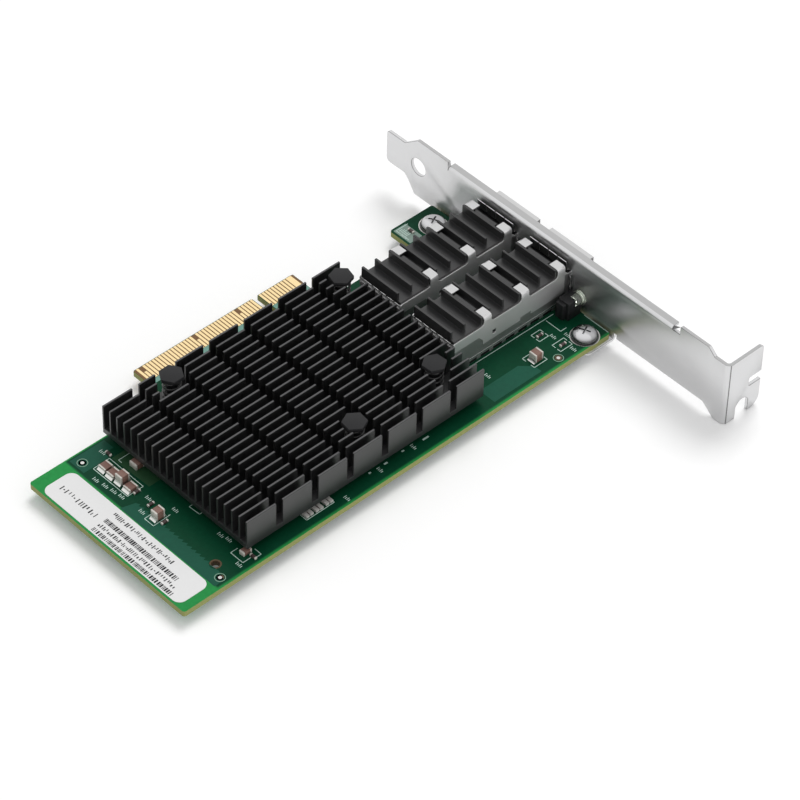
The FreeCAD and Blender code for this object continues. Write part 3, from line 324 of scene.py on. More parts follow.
@dataclass(frozen=True)
class SolderMask:
    """Green board: bright at its rim, darker over copper, olive glass laminate on the cut edges."""

    name: str = "solder_mask"
    rim: Colour = (0.022, 0.260, 0.062)
    field_tone: Colour = (0.002, 0.047, 0.021)
    laminate: Colour = (0.33, 0.33, 0.13)
    resin: Colour = (0.21, 0.24, 0.065)
    width: float = 55.94
    rim_width: float = 1.15
    tongue: float = 40.5
    tongue_blend: float = 1.2
    free_end: float = 10.4
    free_blend: float = 0.9
    tone: float = 0.35
    roughness: float = 0.34
    unevenness: float = 0.08
    scale: float = 900.0
    weave_scale: float = 1200.0
    bump: float = 0.05
    specular: float = 0.10

    def material(self) -> bpy.types.Material:
        """Builds the board's material."""
        material, graph, shader = plain_material(self.name)
        place = graph.add("ShaderNodeTexCoord")
        axes = graph.add("ShaderNodeSeparateXYZ")
        graph.join(place.outputs["Object"], axes.inputs[0])
        inner = self.inner_mask(graph, axes)
        grain = grain_node(graph, Grain.FINE, self.tone, self.roughness, self.unevenness,
                           self.scale)
        graph.join(graph.mix(inner, self.rim, self.field_tone), grain.inputs["Colour"])
        facing = graph.add("ShaderNodeNewGeometry")
        up = graph.add("ShaderNodeSeparateXYZ")
        graph.join(facing.outputs["Normal"], up.inputs[0])
        flat = graph.math("GREATER_THAN", graph.math("ABSOLUTE", up.outputs["Z"]), 0.6)
        cut = self.cut_edge(graph, place)
        graph.join(graph.mix(flat, cut, grain.outputs["Colour"]), shader.inputs["Base Color"])
        graph.join(grain.outputs["Roughness"], shader.inputs["Roughness"])
        shader.inputs["Specular IOR Level"].default_value = self.specular
        add_bump(graph, shader, grain.outputs["Height"], self.bump)
        return material

    def inner_mask(self, graph: NodeGraph, axes: bpy.types.Node) -> bpy.types.NodeSocket:
        """Gives 1 inside the bright rim and 0 on it; the rim stops where the tongue starts."""
        low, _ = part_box("circuit_board")
        far_edge = SPACE.at(0, self.width).y
        reach = self.rim_width * MM
        near = graph.span(axes.outputs["Y"], low.y + 0.15 * reach, low.y + reach)
        free = graph.span(axes.outputs["X"], low.x + self.free_end * MM,
                          low.x + (self.free_end + self.free_blend) * MM)
        past_tongue = graph.span(axes.outputs["X"], low.x + self.tongue * MM,
                                 low.x + (self.tongue + self.tongue_blend) * MM)
        far = graph.span(axes.outputs["Y"], far_edge - 0.1 * reach, far_edge - 0.55 * reach)
        far = graph.math("MAXIMUM", far, past_tongue)
        return graph.math("MULTIPLY", graph.math("MULTIPLY", near, free), far)

    def cut_edge(self, graph: NodeGraph, place: bpy.types.Node) -> bpy.types.NodeSocket:
        """Gives the mottled colour of the layers that show on a cut edge."""
        weave = graph.add("ShaderNodeTexNoise", {"Scale": self.weave_scale})
        layers = graph.add("ShaderNodeTexWave", {"Scale": self.scale, "Distortion": 2.0},
                           bands_direction="Z")
        graph.join(place.outputs["Object"], weave.inputs["Vector"])
        graph.join(place.outputs["Object"], layers.inputs["Vector"])
        both = graph.math("ADD", weave.outputs["Fac"], layers.outputs["Fac"])
        return graph.mix(graph.math("MULTIPLY", both, 0.5), self.resin, self.laminate)


def grey(level: float) -> Colour:
    """Gives a neutral colour."""
    return (level, level, level)


class Palette:
    """Every plain finish on the card.

    The numbers are metallic, roughness, tone, unevenness, scale, bump and specular.
    """

    BLACK_SINK = Finish("sink_anodised", (0.018, 0.018, 0.0185),
                        0.0, 0.34, 0.25, 0.08, 2400.0, 0.05, 0.68)
    SINK_EDGE = Finish("anodised_edge", (0.020, 0.020, 0.021),
                       0.0, 0.45, 0.15, 0.10, 2400.0, 0.04, 0.4)
    # Painted highlight: the fin tops are a lighter copy of the black anodising, standing in for the
    # top light.
    SINK_LIT_TOP = Finish("anodised_fin_top_painted_highlight", (0.085, 0.085, 0.087),
                      0.0, 0.55, 0.15, 0.10, 2400.0, 0.04, 0.4)
    PIN = Finish("black_nylon", (0.018, 0.018, 0.019), 0.0, 0.60, 0.15, 0.10, 2600.0, 0.10, 0.3)
    # Painted shade: the spring wire is darkened to stand for the shade under the pin heads.
    SHADED_SPRING = Finish("spring_wire_painted_shade", grey(0.085), 1.0, 0.35, 0.08, 0.08, 3000.0, 0.03)
    PLATED = Finish("tinned_sheet", grey(0.40), 0.85, 0.38, 0.10, 0.10, 1800.0, 0.04)
    CLIP = Finish("clip_sheet", grey(0.64), 0.7, 0.38, 0.08, 0.10, 1800.0, 0.04)
    # Painted shade: a dark copy of the cage sheet for the cage tops and for the plates in the cage
    # walls' window and slots.
    SHADE = Finish("cage_painted_shade", (0.040, 0.040, 0.041), 0.9, 0.35, 0.20, 0.10, 1800.0, 0.05)
    TAB = Finish("plated_tab", grey(0.64), 1.0, 0.30, 0.06, 0.08, 1800.0, 0.03)
    # Painted shade: a dark copy of the plated sheet, for the collar bodies and the ring at each
    # screw head's foot.
    SHADED_METAL = Finish("dark_metal_painted_shade", grey(0.16), 0.9, 0.32, 0.08, 0.10, 1800.0, 0.03)
    # Painted highlight: the eased edges of the plated sheet parts are much brighter than the sheet.
    PLATED_LIT_EDGE = Finish("plated_edge_painted_highlight", grey(0.88), 1.0, 0.20, 0.04, 0.05, 1800.0, 0.02)
    BRACKET = Finish("bracket_sheet", (0.69, 0.69, 0.695), 1.0, 0.38, 0.05, 0.08, 2600.0, 0.04,
                     grain=Grain.BRUSHED)
    # Painted shade: the bracket's eased edges are darker than its sheet.
    BRACKET_SHADED_EDGE = Finish("bracket_edge_painted_shade", grey(0.26), 1.0, 0.30, 0.05, 0.05, 2600.0, 0.02)
    # Painted shade: the bracket's top faces are a darker copy of its sheet.
    BRACKET_SHADED_TOP = Finish("bracket_top_painted_shade", grey(0.49), 1.0, 0.30, 0.04, 0.05, 2600.0, 0.03,
                    grain=Grain.BRUSHED)
    # The screw domes' steep sides carry painted shade.
    SCREW = Finish("screw_plate", (0.66, 0.66, 0.67), 1.0, 0.16, 0.06, 0.08, 2200.0, 0.04,
                   steep_shade=grey(0.13))
    GOLD = Finish("gold_plate", (1.0, 0.78, 0.43), 1.0, 0.28, 0.08, 0.10, 2400.0, 0.03)
    LAND = Finish("contact_gap", (0.17, 0.085, 0.026), 0.0, 0.45, 0.25, 0.10, 2400.0, 0.05)
    TIN = Finish("tinned_end", (0.66, 0.63, 0.58), 0.3, 0.42, 0.12, 0.12, 3000.0, 0.12)
    PAD_TIN = Finish("tinned_land", (0.60, 0.59, 0.56), 0.2, 0.50, 0.10, 0.10, 3000.0, 0.10)
    SOLDER = Finish("solder", (0.74, 0.74, 0.71), 1.0, 0.30, 0.10, 0.12, 3000.0, 0.10)
    BROWN = Finish("fired_brown", (0.180, 0.098, 0.078), 0.0, 0.45, 0.20, 0.10, 2600.0, 0.08)
    DARK_BROWN = Finish("fired_dark", (0.220, 0.125, 0.100), 0.0, 0.45, 0.22, 0.10, 2600.0, 0.08)
    CHIP = Finish("glazed_black", (0.060, 0.040, 0.038), 0.0, 0.35, 0.20, 0.10, 2600.0, 0.05)
    PRINT = Finish("legend_ink", (0.56, 0.72, 0.65), 0.0, 0.60, 0.10, 0.10, 2600.0, 0.05)
    TEAL = Finish("mask_over_copper", (0.012, 0.084, 0.052),
                  0.0, 0.36, 0.25, 0.08, 700.0, 0.05, 0.12)
    PATCH = Finish("mask_bright", (0.018, 0.062, 0.026), 0.0, 0.36, 0.25, 0.08, 700.0, 0.05, 0.2)
    HAZE = Finish("mask_pale_patch", (0.22, 0.30, 0.26), 0.0, 0.36, 0.35, 0.08, 700.0, 0.05, 0.3)
    TRACE = Finish("mask_over_track", (0.009, 0.080, 0.038),
                   0.0, 0.36, 0.20, 0.08, 900.0, 0.05, 0.2)
    RING = Finish("mask_ring", (0.25, 0.40, 0.30), 0.0, 0.45, 0.15, 0.10, 1500.0, 0.05)
    # Bare laminate round the targets and tooling hole; the lining inside the tooling hole also
    # carries painted shade.
    BARE_AND_SHADED_LAMINATE = Finish("bare_laminate_and_painted_shade", (0.085, 0.052, 0.024), 0.0, 0.50, 0.20, 0.10, 1500.0, 0.05)
    STRIP = Finish("mask_pale", (0.16, 0.34, 0.28), 0.0, 0.40, 0.15, 0.10, 1500.0, 0.05)
    LABEL = Finish("label_film", grey(0.795), 0.0, 0.60, 0.03, 0.06, 1400.0, 0.04, 0.2)
    LABEL_INK = Finish("label_ink", (0.022, 0.022, 0.024), 0.0, 0.60, 0.25, 0.10, 1800.0, 0.03, 0.2)
    LAMP_BLACK = Finish("black_moulding", (0.012, 0.012, 0.013),
                        0.0, 0.45, 0.20, 0.10, 2600.0, 0.08, 0.3)
    SOCKET = Finish("socket_moulding", (0.018, 0.018, 0.020), 0.0, 0.45, 0.20, 0.10, 2600.0, 0.08)
    PACKAGE = Finish("package_laminate", (0.012, 0.060, 0.035), 0.0, 0.40, 0.20, 0.10, 1600.0, 0.05)
    NICKEL = Finish("nickel_lid", (0.60, 0.58, 0.54), 1.0, 0.32, 0.06, 0.08, 1800.0, 0.04)
    THERMAL = Finish("thermal_pad", (0.34, 0.35, 0.36), 0.0, 0.75, 0.15, 0.10, 1800.0, 0.15)
    MOULD = Finish("chip_moulding", (0.025, 0.025, 0.027), 0.0, 0.50, 0.20, 0.10, 2600.0, 0.12)
    FERRITE = Finish("pressed_ferrite", (0.075, 0.075, 0.078), 0.0, 0.60, 0.25, 0.12, 2200.0, 0.20)


def lens_material() -> bpy.types.Material:
    """Builds the lamp's clear, faintly green moulding."""
    material, graph, shader = plain_material("clear_lens")
    shader.inputs["Transmission Weight"].default_value = 0.85
    shader.inputs["IOR"].default_value = 1.49
    haze = graph.add("ShaderNodeTexNoise", {"Scale": 1800.0})
    coords = graph.add("ShaderNodeTexCoord")
    graph.join(coords.outputs["Object"], haze.inputs["Vector"])
    graph.join(graph.mix(haze.outputs["Fac"], (0.80, 0.88, 0.74), (0.90, 0.94, 0.86)),
               shader.inputs["Base Color"])
    graph.join(graph.math("MULTIPLY", haze.outputs["Fac"], 0.2), shader.inputs["Roughness"])
    return material


# ------------------------------------------------------------------ mesh work
class Sketch:
    """Collects faces stated in card millimetres and turns them into one object."""

    def __init__(self) -> None:
        """Starts empty."""
        self.mesh = bmesh.new()

    def corner(self, x: float, y: float, z: float) -> bmesh.types.BMVert:
        """Adds one point."""
        return self.mesh.verts.new(SPACE.at(x, y, z))

    def face(self, corners: Iterable[bmesh.types.BMVert], material: int = 0) -> None:
        """Adds one face with a material's number."""
        self.mesh.faces.new(list(corners)).material_index = material

    def slab(self, outline: Sequence[Point], z: float, thick: float, material: int = 0) -> None:
        """Adds a flat closed plate with the given outline.

        Args:
            outline: Corners in order.
            z: Height of its underside.
            thick: Its thickness; a negative one lies below z.
            material: The number of its material.
        """
        low = [self.corner(x, y, z) for x, y in outline]
        high = [self.corner(x, y, z + thick) for x, y in outline]
        self.face(high, material)
        self.face(reversed(low), material)
        for i in range(len(outline)):
            j = (i + 1) % len(outline)
            self.face((low[i], low[j], high[j], high[i]), material)

    def bar(self, start: Point, end: Point, width: float, z: float, thick: float) -> None:
        """Adds a straight flat bar between two points."""
        along = Vector(end) - Vector(start)
        across = Vector((-along.y, along.x)).normalized() * width / 2
        a, b = Vector(start), Vector(end)
        corners = [a - across, b - across, b + across, a + across]
        self.slab([(p.x, p.y) for p in corners], z, thick)

    def ring(self, x: float, y: float, z: float, inner: float, outer: float, thick: float,
             material: int = 0, sides: int = 32) -> None:
        """Adds a flat washer, or a disc where inner is nought."""
        turns = [2 * math.pi * k / sides for k in range(sides)]
        if inner <= 0:
            edge = [(x + outer * math.cos(t), y + outer * math.sin(t)) for t in turns]
            self.slab(edge, z, thick, material)
            return
        loops = []
        for radius, height in ((inner, z), (outer, z), (outer, z + thick), (inner, z + thick)):
            loops.append([self.corner(x + radius * math.cos(t), y + radius * math.sin(t), height)
                          for t in turns])
        for k in range(sides):
            j = (k + 1) % sides
            for a in range(4):
                b = (a + 1) % 4
                self.face((loops[a][k], loops[a][j], loops[b][j], loops[b][k]), material)

    def lathe(self, x: float, y: float, profile: Sequence[Point], sides: int) -> None:
        """Adds a turned form; profile is (radius, height) from foot to top."""
        rings = []
        for radius, height in profile:
            if radius <= 0:
                rings.append([self.corner(x, y, height)])
                continue
            rings.append([self.corner(x + radius * math.cos(2 * math.pi * k / sides),
                                      y + radius * math.sin(2 * math.pi * k / sides), height)
                          for k in range(sides)])
        for lower, upper in zip(rings, rings[1:]):
            for k in range(sides):
                j = (k + 1) % sides
                if len(lower) == 1:
                    self.face((lower[0], upper[j], upper[k]))
                elif len(upper) == 1:
                    self.face((lower[k], lower[j], upper[0]))
                else:
                    self.face((lower[k], lower[j], upper[j], upper[k]))

    def tube(self, path: Sequence[tuple[float, float, float]], radius: float,
             sides: int = 8) -> None:
        """Adds a round wire that follows a path."""
        points = [Vector(p) for p in path]
        rings = []
        for k, here in enumerate(points):
            ahead = points[min(k + 1, len(points) - 1)] - points[max(k - 1, 0)]
            ahead.normalize()
            side = ahead.cross(Vector((0, 0, 1))).normalized()
            lift = side.cross(ahead).normalized()
            ring = []
            for s in range(sides):
                turn = 2 * math.pi * s / sides
                spot = here + (side * math.cos(turn) + lift * math.sin(turn)) * radius
                ring.append(self.corner(*spot))
            rings.append(ring)
        for first, second in zip(rings, rings[1:]):
            for s in range(sides):
                j = (s + 1) % sides
                self.face((first[s], first[j], second[j], second[s]))
        self.face(reversed(rings[0]))
        self.face(rings[-1])

    def object(self, name: str, finishes: Sequence[Finish], slot: Slot,
               smooth: float = 0.0) -> bpy.types.Object:
        """Closes the sketch into an object that rides on the card.

        Args:
            name: The piece's name.
            finishes: Its finishes, by number.
            slot: Not used.
            smooth: Angle in degrees under which edges are shaded smooth.

        Returns:
            The new object.
        """
        bmesh.ops.recalc_face_normals(self.mesh, faces=self.mesh.faces)
        data = bpy.data.meshes.new(name)
        self.mesh.to_mesh(data)
        self.mesh.free()
        return place_piece(name, data, finishes, slot, smooth)


def place_piece(name: str, data: bpy.types.Mesh, finishes: Sequence[Finish], slot: Slot,
                smooth: float) -> bpy.types.Object:
    """Puts a mesh in the scene as a piece of the card."""
    for finish in finishes:
        data.materials.append(finish.material())
    piece = bpy.data.objects.new(name, data)
    bpy.context.scene.collection.objects.link(piece)
    shade_by_angle(data, smooth)
    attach(piece, "root")
    return piece


def shade_by_angle(data: bpy.types.Mesh, degrees: float) -> None:
    """Shades faces smooth and keeps edges sharper than the angle crisp."""
    if degrees <= 0:
        return
    work = bmesh.new()
    work.from_mesh(data)
    limit = math.radians(degrees)
    for face in work.faces:
        face.smooth = True
    for edge in work.edges:
        edge.smooth = edge.is_manifold and edge.calc_face_angle(math.pi) < limit
    work.to_mesh(data)
    work.free()


@dataclass
class SoftenedPart:
    """A CAD node with its hard edges eased and its own finish on the eased edges."""

    node: str
    name: str
    body: Finish
    edge: Finish
    slot: Slot
    width: float = 0.06
    segments: int = 2
    top: Finish | None = None
    top_reach: float = 0.3
    corner: float = 40.0
    level: float = 0.9
    clamp: bool = True
    stray: float = 1.5

    def build(self) -> bpy.types.Object:
        """Copies the node's mesh, eases its edges and stands it in the node's place.

        Returns:
            The piece that replaces the node.
        """
        work = bmesh.new()
        work.from_mesh(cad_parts[self.node].data)
        bmesh.ops.remove_doubles(work, verts=work.verts, dist=WELD)
        bmesh.ops.dissolve_limit(work, angle_limit=math.radians(1.0), verts=work.verts,
                                 edges=work.edges)
        for face in work.faces:
            face.material_index = 0
        limit = math.radians(self.corner)
        hard = [e for e in work.edges if e.is_manifold and e.calc_face_angle(0.0) > limit]
        solid = BVHTree.FromBMesh(work)
        bmesh.ops.bevel(work, geom=hard, offset=self.width * MM, offset_type="OFFSET",
                        segments=self.segments, profile=0.5, affect="EDGES",
                        clamp_overlap=self.clamp, material=1)
        self.seat_strays(work, solid)
        if self.top is not None:
            self.paint_tops(work)
        data = bpy.data.meshes.new(self.name)
        work.to_mesh(data)
        work.free()
        finishes = [self.body, self.edge] + ([] if self.top is None else [self.top])
        piece = place_piece(self.name, data, finishes, self.slot, EASED_ANGLE)
        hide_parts(self.node)
        return piece

    def seat_strays(self, work: bmesh.types.BMesh, solid: BVHTree) -> None:
        """Puts corners that the easing threw off the node's surface back on it."""
        for corner in work.verts:
            nearest, _, _, distance = solid.find_nearest(corner.co)
            if distance > self.stray * self.width * MM:
                corner.co = nearest

    def paint_tops(self, work: bmesh.types.BMesh) -> None:
        """Gives the highest level faces the top finish."""
        lowest = max(v.co.z for v in work.verts) - self.top_reach * MM
        for face in work.faces:
            if face.normal.z > self.level and face.calc_center_median().z > lowest:
                face.material_index = 2


# ------------------------------------------------------------------ sub-assemblies
# Printed paths on the board: the points, and whether the last joins the first.
LEGEND_PATHS: tuple[tuple[tuple[Point, ...], bool], ...] = (
    (((14.3, 49.4), (19.4, 49.5), (19.3, 37.0), (14.4, 37.0)), True),
    (((18.0, 25.7), (12.68, 25.54), (12.67, 28.76), (17.6, 28.9)), False),
    (((99.6, 14.7), (133.6, 14.4)), False),
    (((130.5, 13.9), (130.5, 8.75), (132.5, 8.75)), False),
    (((139.0, 9.0), (139.0, 0.6)), False),
    (((22.6, 7.0), (20.4, 7.0), (20.4, 2.7), (22.9, 2.7)), False),
    (((23.9, 1.9), (25.4, 1.9), (25.4, 4.2)), False),
    (((24.4, 24.7), (23.0, 24.7), (23.2, 21.2), (24.4, 21.2)), False),
    (((40.6, 2.9), (49.4, 2.9), (49.4, 5.2), (40.6, 5.2)), True),
    (((24.8, 47.6), (20.6, 47.6), (20.6, 46.4)), False),
)
# Parts with a printed corner at each end: x0, x1, y0, y1.
CORNER_FRAMES: tuple[Box, ...] = (
    (116.6, 121.0, 3.9, 8.1), (124.0, 127.1, 9.6, 12.6), (125.4, 129.4, 3.6, 6.6))
EAR_CORNER: tuple[Point, ...] = ((125.6, 58.4), (125.6, 63.0), (129.6, 63.0))
# Heavy dashes along the near edge: x, y and length.
EDGE_DASHES = ((61.8, 4.4, 0.7), (66.6, 4.2, 1.1), (72.6, 4.5, 0.8), (79.1, 4.0, 1.9))
TICK_PLACES: tuple[Point, ...] = (
    (11.9, 46.9), (12.3, 43.9), (12.6, 41.2), (12.9, 38.6), (19.4, 26.8), (13.2, 31.6),
    (18.9, 3.6), (22.0, 13.6), (22.4, 11.2), (52.0, 2.6), (19.0, 52.9), (17.2, 33.9),
    (127.3, 9.4), (127.9, 2.9), (105.6, 10.2), (130.3, 7.4), (125.2, 60.9), (64.2, 4.3),
    (75.4, 4.6))


def rectangle(x0: float, x1: float, y0: float, y1: float) -> list[Point]:
    """Gives the corners of a rectangle that lies along the card."""
    return [(x0, y0), (x1, y0), (x1, y1), (x0, y1)]


@dataclass
class BoardDressing:
    """Solder mask, copper areas, legend and pads on the circuit board."""

    film: float = 0.012
    legend: float = 0.02
    line: float = 0.17
    dash: float = 0.5
    corner_reach: float = 1.2
    tick: float = 0.18
    tick_pitch: float = 0.52
    targets: tuple[Point, ...] = ((13.65, 52.65), (13.4, 2.74), (123.4, 2.4))
    tooling_hole: Point = (15.45, 6.65)
    tinned_chips: tuple[Point, ...] = ((42.0, 4.15), (45.0, 4.05), (48.2, 4.1))
    tin_height: float = 0.6
    screw_r: float = 3.3
    land_spans: tuple[Point, ...] = ((42.95, 81.3), (83.7, 95.0))
    made: list[bpy.types.Object] = field(default_factory=list)

    def build(self) -> list[bpy.types.Object]:
        """Dresses the board node and adds every printed and plated layer."""
        dress_node("circuit_board", SolderMask().material())
        self.copper_areas()
        self.tracks()
        self.legend_lines()
        self.pads()
        self.contact_lands()
        return self.made

    def add(self, sketch: Sketch, name: str, slot: Slot, *finishes: Finish) -> None:
        """Closes a layer into a piece."""
        self.made.append(sketch.object(name, finishes, slot))

    def copper_areas(self) -> None:
        """Adds the paler areas where the mask lies over copper."""
        sketch = Sketch()
        teeth = self.saw_edge(14.3, 8.0, 35.0, 1.55)
        strip = [(10.6, 35.2), (10.6, 1.5), (13.6, 1.5), (14.6, 4.6)] + teeth
        sketch.slab(strip, 0.0, self.film, 0)
        sketch.slab([(11.7, 49.8), (19.6, 49.8), (19.6, 51.6), (22.4, 51.6), (22.4, 55.1),
                     (11.7, 55.1)], 0.0, self.film, 0)
        sketch.slab([(19.8, 49.2), (25.4, 49.2), (25.4, 36.0), (20.3, 36.0)], 0.0, self.film, 1)
        sketch.slab([(125.0, 57.2), (129.2, 57.2), (129.2, 63.4), (125.0, 63.4)], 0.0, self.film, 2)
        sketch.slab([(101.0, 1.8), (117.0, 1.8), (117.0, 4.2), (114.0, 7.0), (101.0, 7.0)],
                    0.0, self.film, 0)
        self.add(sketch, "copper_areas", Slot.BOARD, Palette.TEAL, Palette.PATCH, Palette.HAZE)

    def saw_edge(self, x: float, y0: float, y1: float, pitch: float) -> list[Point]:
        """Gives the stepped edge of a copper area, from y0 up to y1."""
        count = int((y1 - y0) / pitch)
        points: list[Point] = []
        for k in range(count):
            y = y0 + k * pitch
            points += [(x, y), (x + 0.7, y + 0.15), (x + 0.1, y + pitch * 0.8)]
        return points

    def tracks(self) -> None:
        """Adds fine tracks and plated through-holes on the underside."""
        rng = random.Random(SEED)
        sketch = Sketch()
        low = -BOARD_THICK
        start, fine, broad, via = 62.8, 0.16, 0.22, 0.28
        for k in range(14):
            x = 46.0 + 3.3 * k
            foot = start - rng.uniform(8.0, 26.0)
            bend = rng.uniform(-4.0, 4.0)
            sketch.bar((x, start), (x, foot), fine, low, -self.film)
            sketch.bar((x, foot), (x + bend, foot - abs(bend)), fine, low, -self.film)
        for k in range(12):
            y = 12.0 + 2.6 * k
            first, last = 98.0 + rng.uniform(0, 3), 112.0 + rng.uniform(0, 6)
            sketch.bar((first, y), (last, y), broad, low, -self.film)
        for _ in range(90):
            x = rng.uniform(12.0, 122.0)
            y = rng.uniform(6.0, 54.0)
            sketch.ring(x, y, low, 0.0, via, -self.film, 1, 10)
        self.add(sketch, "tracks", Slot.BOARD, Palette.TRACE, Palette.RING)

    def legend_lines(self) -> None:
        """Adds the printed outlines round parts and small plain marks beside them."""
        sketch = Sketch()
        for points, closed in LEGEND_PATHS:
            self.path(sketch, points, closed)
        reach = self.corner_reach
        for x0, x1, y0, y1 in CORNER_FRAMES:
            self.path(sketch, ((x0, y0 + reach), (x0, y0), (x1, y0), (x1, y0 + reach)), False)
            self.path(sketch, ((x0, y1 - reach), (x0, y1), (x1, y1), (x1, y1 - reach)), False)
        self.path(sketch, EAR_CORNER, False)
        for x, y, length in EDGE_DASHES:
            sketch.bar((x, y), (x + length, y), self.dash, 0.0, self.legend)
        for k in range(6):
            y = 62.4 - 0.5 * k
            self.path(sketch, ((126.0, y), (127.2 + 0.3 * (k % 3), y)), False)
        for x, y in TICK_PLACES:
            self.tick_marks(sketch, x, y)
        self.add(sketch, "legend", Slot.BOARD, Palette.PRINT)

    def path(self, sketch: Sketch, points: Sequence[Point], closed: bool) -> None:
        """Adds a printed line through the points."""
        ends = list(points) + ([points[0]] if closed else [])
        for start, end in zip(ends, ends[1:]):
            sketch.bar(start, end, self.line, 0.0, self.legend)

    def tick_marks(self, sketch: Sketch, x: float, y: float) -> None:
        """Adds four short plain strokes in place of a reference mark."""
        for k in range(4):
            left = y - self.tick_pitch * k
            end = x + 1.0 - 0.3 * (k % 2)
            sketch.bar((x, left), (end, left), self.tick, 0.0, self.legend)

    def pads(self) -> None:
        """Adds targets, rings round holes and screws, and tin beside the near-edge chips; the dark
        ring at each screw head's foot is painted shade, and the tooling hole's dark lining is
        partly painted shade.
        """
        sketch = Sketch()
        both_faces = ((0.0, 1), (-BOARD_THICK, -1))
        for x, y in self.targets:
            for base, way in both_faces:
                sketch.ring(x, y, base, 0.0, 0.95, way * self.film, 2)
                sketch.ring(x, y, base, 0.0, 0.48, way * (self.film + 0.006), 1)
                sketch.ring(x, y, base, 1.2, 1.36, way * self.legend)
        for base, way in both_faces:
            sketch.ring(*self.tooling_hole, base, 1.32, 1.48, way * self.film, 2, 40)
        # Dark lining inside the tooling hole: partly the drilled laminate's colour, partly painted
        # shade in the hole.
        sketch.ring(*self.tooling_hole, -BOARD_THICK, 1.08, 1.29, BOARD_THICK, 2, 40)
        for x, y in self.tinned_chips:
            for side in (-1, 1):
                a, b = sorted((x + 0.16 * side, x + 1.15 * side))
                sketch.slab(rectangle(a, b, y - 0.9, y + 0.9), 0.0, self.tin_height, 4)
        low, high = SPACE.box("bracket_screws")
        head = self.screw_r
        for x, y in ((low.x + head, low.y + head), (high.x - head, high.y - head)):
            # Painted shade: the dark ring at each screw head's foot.
            sketch.ring(x, y, 0.0, 1.7, 3.6, self.film, 3, 48)
            sketch.ring(x, y, 0.0, 3.6, 3.85, self.film, 1, 48)
        self.add(sketch, "hole_rings", Slot.TIN, Palette.RING, Palette.SOLDER, Palette.BARE_AND_SHADED_LAMINATE,
                 Palette.SHADED_METAL, Palette.PAD_TIN)

    def contact_lands(self) -> None:
        """Adds the bare laminate between the edge contacts and the pale strip behind them."""
        low, high = SPACE.box("edge_contacts_top")
        sketch = Sketch()
        side_base, side_height = -1.55, 1.5
        for x0, x1 in self.land_spans:
            for z, thick in ((0.0, self.film), (-BOARD_THICK, -self.film)):
                sketch.slab(rectangle(x0, x1, low.y, high.y), z, thick, 0)
                sketch.slab(rectangle(x0, x1, low.y - 1.5, low.y - 0.02), z, thick, 1)
            for x in (x0 - self.film, x1):
                sketch.slab(rectangle(x, x + self.film, low.y, high.y), side_base, side_height, 0)
        self.add(sketch, "contact_lands", Slot.BOARD, Palette.LAND, Palette.STRIP)


@dataclass
class LabelPrint:
    """Plain bars printed on the white label."""

    height: float = 0.11
    thick: float = 0.008
    bar_rows: tuple[Box, ...] = ((4.85, 6.2, 34.5, 8.9), (0.98, 2.2, 34.4, 6.1))
    dash_rows: tuple[tuple[Box, float], ...] = (
        ((7.6, 8.9, 34.6, 13.4), 1.0), ((2.95, 4.1, 34.4, 7.5), 1.0),
        ((4.0, 5.5, 49.6, 36.6), 1.6))

    def build(self) -> bpy.types.Object:
        """Adds the bar patterns and rows of plain dashes."""
        rng = random.Random(SEED + 1)
        sketch = Sketch()
        for row in self.bar_rows:
            self.bars(sketch, rng, row)
        for row, spread in self.dash_rows:
            self.dashes(sketch, rng, row, spread)
        return sketch.object("label_print", [Palette.LABEL_INK], Slot.LABEL)

    def bars(self, sketch: Sketch, rng: random.Random, row: Box) -> None:
        """Adds a row of bars of uneven width between two ends."""
        x0, x1, y, y1 = row
        while y > y1:
            width = rng.choice((0.18, 0.22, 0.34, 0.5))
            sketch.slab(rectangle(x0, x1, y - width, y), self.height, self.thick)
            y -= width + rng.choice((0.16, 0.2, 0.28, 0.4))

    def dashes(self, sketch: Sketch, rng: random.Random, row: Box, spread: float) -> None:
        """Adds a row of short plain strokes of uneven height."""
        x0, x1, y, y1 = row
        while y > y1:
            width = rng.choice((0.24, 0.3, 0.38))
            low = x0 + rng.choice((0.0, 0.0, 0.35)) * (x1 - x0)
            high = x1 - rng.choice((0.0, 0.0, 0.4)) * (x1 - x0)
            sketch.slab(rectangle(low, high, y - width, y), self.height, self.thick)
            y -= width + spread * rng.choice((0.26, 0.32, 0.5))


@dataclass
class PinSprings:
    """Round-wire springs under the push pins' heads."""

    mean: float = 2.2
    wire: float = 0.25
    turns: int = 4
    steps: int = 24

    def build(self) -> bpy.types.Object:
        """Winds the four springs about the axes of the CAD springs."""
        sketch = Sketch()
        for x, y, z0, z1 in self.places():
            path = []
            total = self.steps * self.turns
            for k in range(total + 1):
                turn = 2 * math.pi * k / self.steps
                z = z0 + self.wire + (z1 - z0 - 2 * self.wire) * k / total
                path.append((x + self.mean * math.cos(turn), y + self.mean * math.sin(turn), z))
            sketch.tube(path, self.wire)
        piece = sketch.object("wound_springs", [Palette.SHADED_SPRING], Slot.SPRING_STEEL, 60.0)
        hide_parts("pin_springs")
        return piece

    def places(self) -> list[tuple[float, float, float, float]]:
        """Finds each spring's axis and ends from the CAD node's separate coils."""
        work = bmesh.new()
        work.from_mesh(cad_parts["pin_springs"].data)
        bmesh.ops.remove_doubles(work, verts=work.verts, dist=WELD)
        seen: set[int] = set()
        found = []
        for vert in work.verts:
            if vert.index in seen:
                continue
            stack, island = [vert], []
            seen.add(vert.index)
            while stack:
                here = stack.pop()
                island.append(here.co.copy())
                for edge in here.link_edges:
                    other = edge.other_vert(here)
                    if other.index not in seen:
                        seen.add(other.index)
                        stack.append(other)
            points = [(p - SPACE.origin) / MM for p in island]
            xs, ys, zs = zip(*points)
            found.append(((min(xs) + max(xs)) / 2, (min(ys) + max(ys)) / 2, min(zs), max(zs)))
        work.free()
        return found


